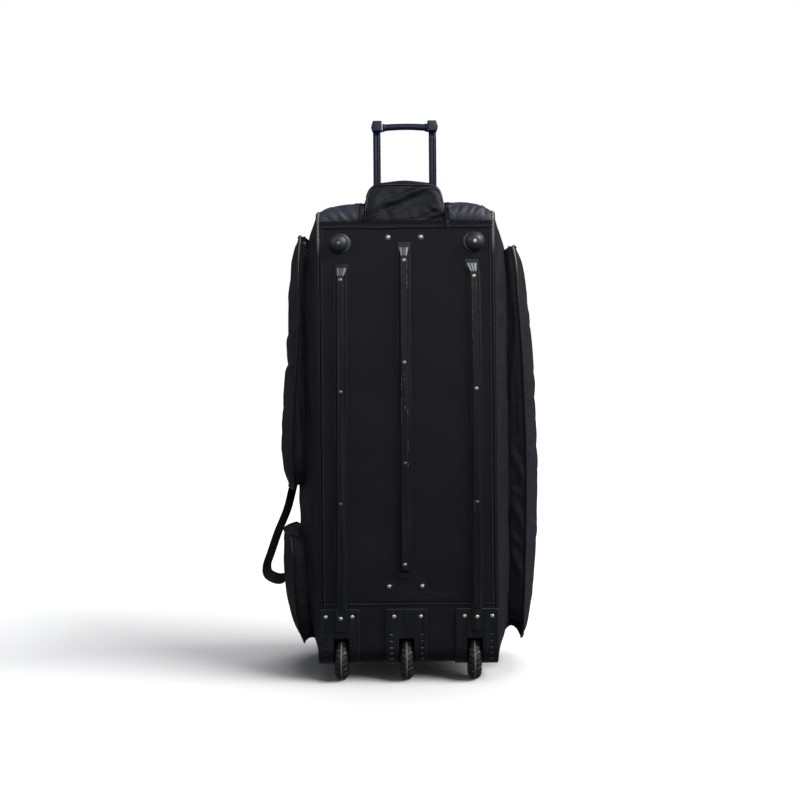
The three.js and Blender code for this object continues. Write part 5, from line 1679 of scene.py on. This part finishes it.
def addFoot(foot):
    # flange: a flat ring with a rounded rim; dome: a quarter ellipse with a round hole sunk in its crown
    size, name = footSize, foot["name"]
    thick, wide, hole = size["thick"], size["dome"], size["hole"]
    rim = [(size["flange"] + size["rim"] * (math.cos(t) - 1), thick + size["rim"] * (math.sin(t) - 1))
           for t in np.linspace(0, math.pi / 2, 6)]
    flange = turned([(0, 0), (size["flange"], 0), *rim, (0, thick)], 56)
    lean = np.linspace(0, math.acos(hole / wide), 18)
    dome = [(wide * math.cos(t), thick + size["height"] * math.sin(t)) for t in lean]
    crown = dome[-1][1]
    sink = [(hole - 0.3, crown - 0.4), (hole - 0.6, crown - size["holeDeep"]), (0, crown - size["holeDeep"])]
    base = [(0, 1), (wide + 1.2, 1), (wide + 1.2, thick + 0.2), (wide + 0.3, thick + 1.0)]
    body = moved(turned([*base, *dome[1:], *sink], 56), (foot["way"] * size["offX"], 0, size["offZ"]))
    place = (foot["x"], -shell["seat"], foot["z"])
    addPiece(f"bumper_{name}_rubber", [moved(flange, place), moved(body, place)], footRubberPaintedSheen,
             f"bumper_foot_{name}", sharp=38)
    head = turned([(0, 0), (4.3, 0), (4.3, 0.9), (3.8, 1.5), (1.6, 1.8), (0, 1.8)], 24)
    head["wear"] = np.full(len(head["points"]), foot["darkShare"])
    deep = -shell["seat"] - crown + size["holeDeep"]
    spot = (foot["x"] + foot["way"] * size["offX"], deep + 0.2, foot["z"] + size["offZ"])
    addPiece(f"bumper_{name}_screw", moved(head, spot), platedSteel, sharp=35)


addRivets()
for foot in feet:
    addFoot(foot)
print("fasteners made")


# Hidden pieces keep their own shape, with softened edges and the moulded finish

hiddenPiece = dict(weld=0.01, edge=0.8, angle=35)

for name in ("trolley_frame", "stand_foot_left", "stand_foot_right"):
    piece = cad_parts[name]
    piece.data.materials.clear()
    piece.data.materials.append(mouldedPlastic)
    weld = piece.modifiers.new("weld", "WELD")
    weld.merge_threshold = hiddenPiece["weld"] * mm
    soften = piece.modifiers.new("soften", "BEVEL")
    soften.width = hiddenPiece["edge"] * mm
    soften.segments = 2
    soften.limit_method = "ANGLE"
    soften.angle_limit = math.radians(hiddenPiece["angle"])


# Stage: pale floor and white surround. A broad key from the right, a softbox by the camera and a weak light
# on the left light the bag alone; a second key and an overhead wash light the floor alone, for the depth of
# its shadow.

def addFloor():
    corner = 30.0
    mesh = bpy.data.meshes.new("floor")
    points = [(-corner, -corner, 0), (corner, -corner, 0), (corner, corner, 0), (-corner, corner, 0)]
    mesh.from_pydata(points, [], [(0, 1, 2, 3)])
    # translucent acrylic lit from below as well: white, with no shadow ever quite black
    material, _, _ = startMaterial("acrylicTable", {
        "Base Color": linear("#fafafa"), "Roughness": 0.9, "Specular IOR Level": 0.1,
        "Emission Color": (1, 1, 1, 1), "Emission Strength": 0.005,
    })
    mesh.materials.append(material)
    floor = bpy.data.objects.new("floor", mesh)
    bpy.context.scene.collection.objects.link(floor)
    # the ground throws no light back up at the bag, as on a cut-out photograph
    floor.visible_diffuse = False
    floor.visible_glossy = False
    return floor


def addLight(name, kind, place, target, floorState, settings):
    data = bpy.data.lights.new(name, kind)
    for key, value in settings.items():
        setattr(data, key, value)
    made = bpy.data.objects.new(name, data)
    made.location = place
    way = np.array(target) - np.array(place)
    lean, turn = math.atan2(math.hypot(way[0], way[1]), -way[2]), math.atan2(way[1], way[0])
    made.rotation_euler = (lean, 0, turn - math.pi / 2)
    bpy.context.scene.collection.objects.link(made)
    # light linking: the floor is the one thing that this lamp leaves out, or the one thing that it lights
    receivers = bpy.data.collections.new(f"{name}Receivers")
    receivers.objects.link(floor)
    receivers.collection_objects[0].light_linking.link_state = floorState
    made.light_linking.receiver_collection = receivers


def addWorld():
    world = bpy.data.worlds.new("studio")
    world.use_nodes = True
    tree = world.node_tree
    tree.nodes.clear()
    seen = addNode(tree, "ShaderNodeBackground", {}, {"Color": (1, 1, 1, 1), "Strength": 1.0})
    fill = addNode(tree, "ShaderNodeBackground", {}, {"Color": linear("#e9ebf3"), "Strength": 0.155})
    toCamera = addNode(tree, "ShaderNodeLightPath").outputs["Is Camera Ray"]
    mix = addNode(tree, "ShaderNodeMixShader", {}, {0: toCamera, 1: fill.outputs[0], 2: seen.outputs[0]})
    addNode(tree, "ShaderNodeOutputWorld", {}, {"Surface": mix.outputs[0]})
    bpy.context.scene.world = world


floor = addFloor()
addWorld()
addLight("key", "SUN", (3.0, -0.75, 2.3), (0, 0, 0), "EXCLUDE",
         dict(energy=5.0, angle=math.radians(40)))
addLight("softbox", "AREA", (0.6, -3.2, 2.3), (0, 0, 0.9), "EXCLUDE",
         dict(energy=80, shape="RECTANGLE", size=0.9, size_y=1.6))
addLight("bounce", "AREA", (-3.0, -1.5, 2.5), (-0.4, 0, 0.4), "EXCLUDE",
         dict(energy=46, shape="SQUARE", size=2.0))
addLight("floorKey", "SUN", (3.0, -0.88, 2.15), (0, 0, 0), "INCLUDE",
         dict(energy=4.1, angle=math.radians(46)))
addLight("floorWash", "SUN", (0.45, 1.0, 4.0), (0, 0, 0), "INCLUDE",
         dict(energy=1.35, angle=math.radians(44)))
bpy.context.scene.view_settings.view_transform = "Standard"
print("stage made")
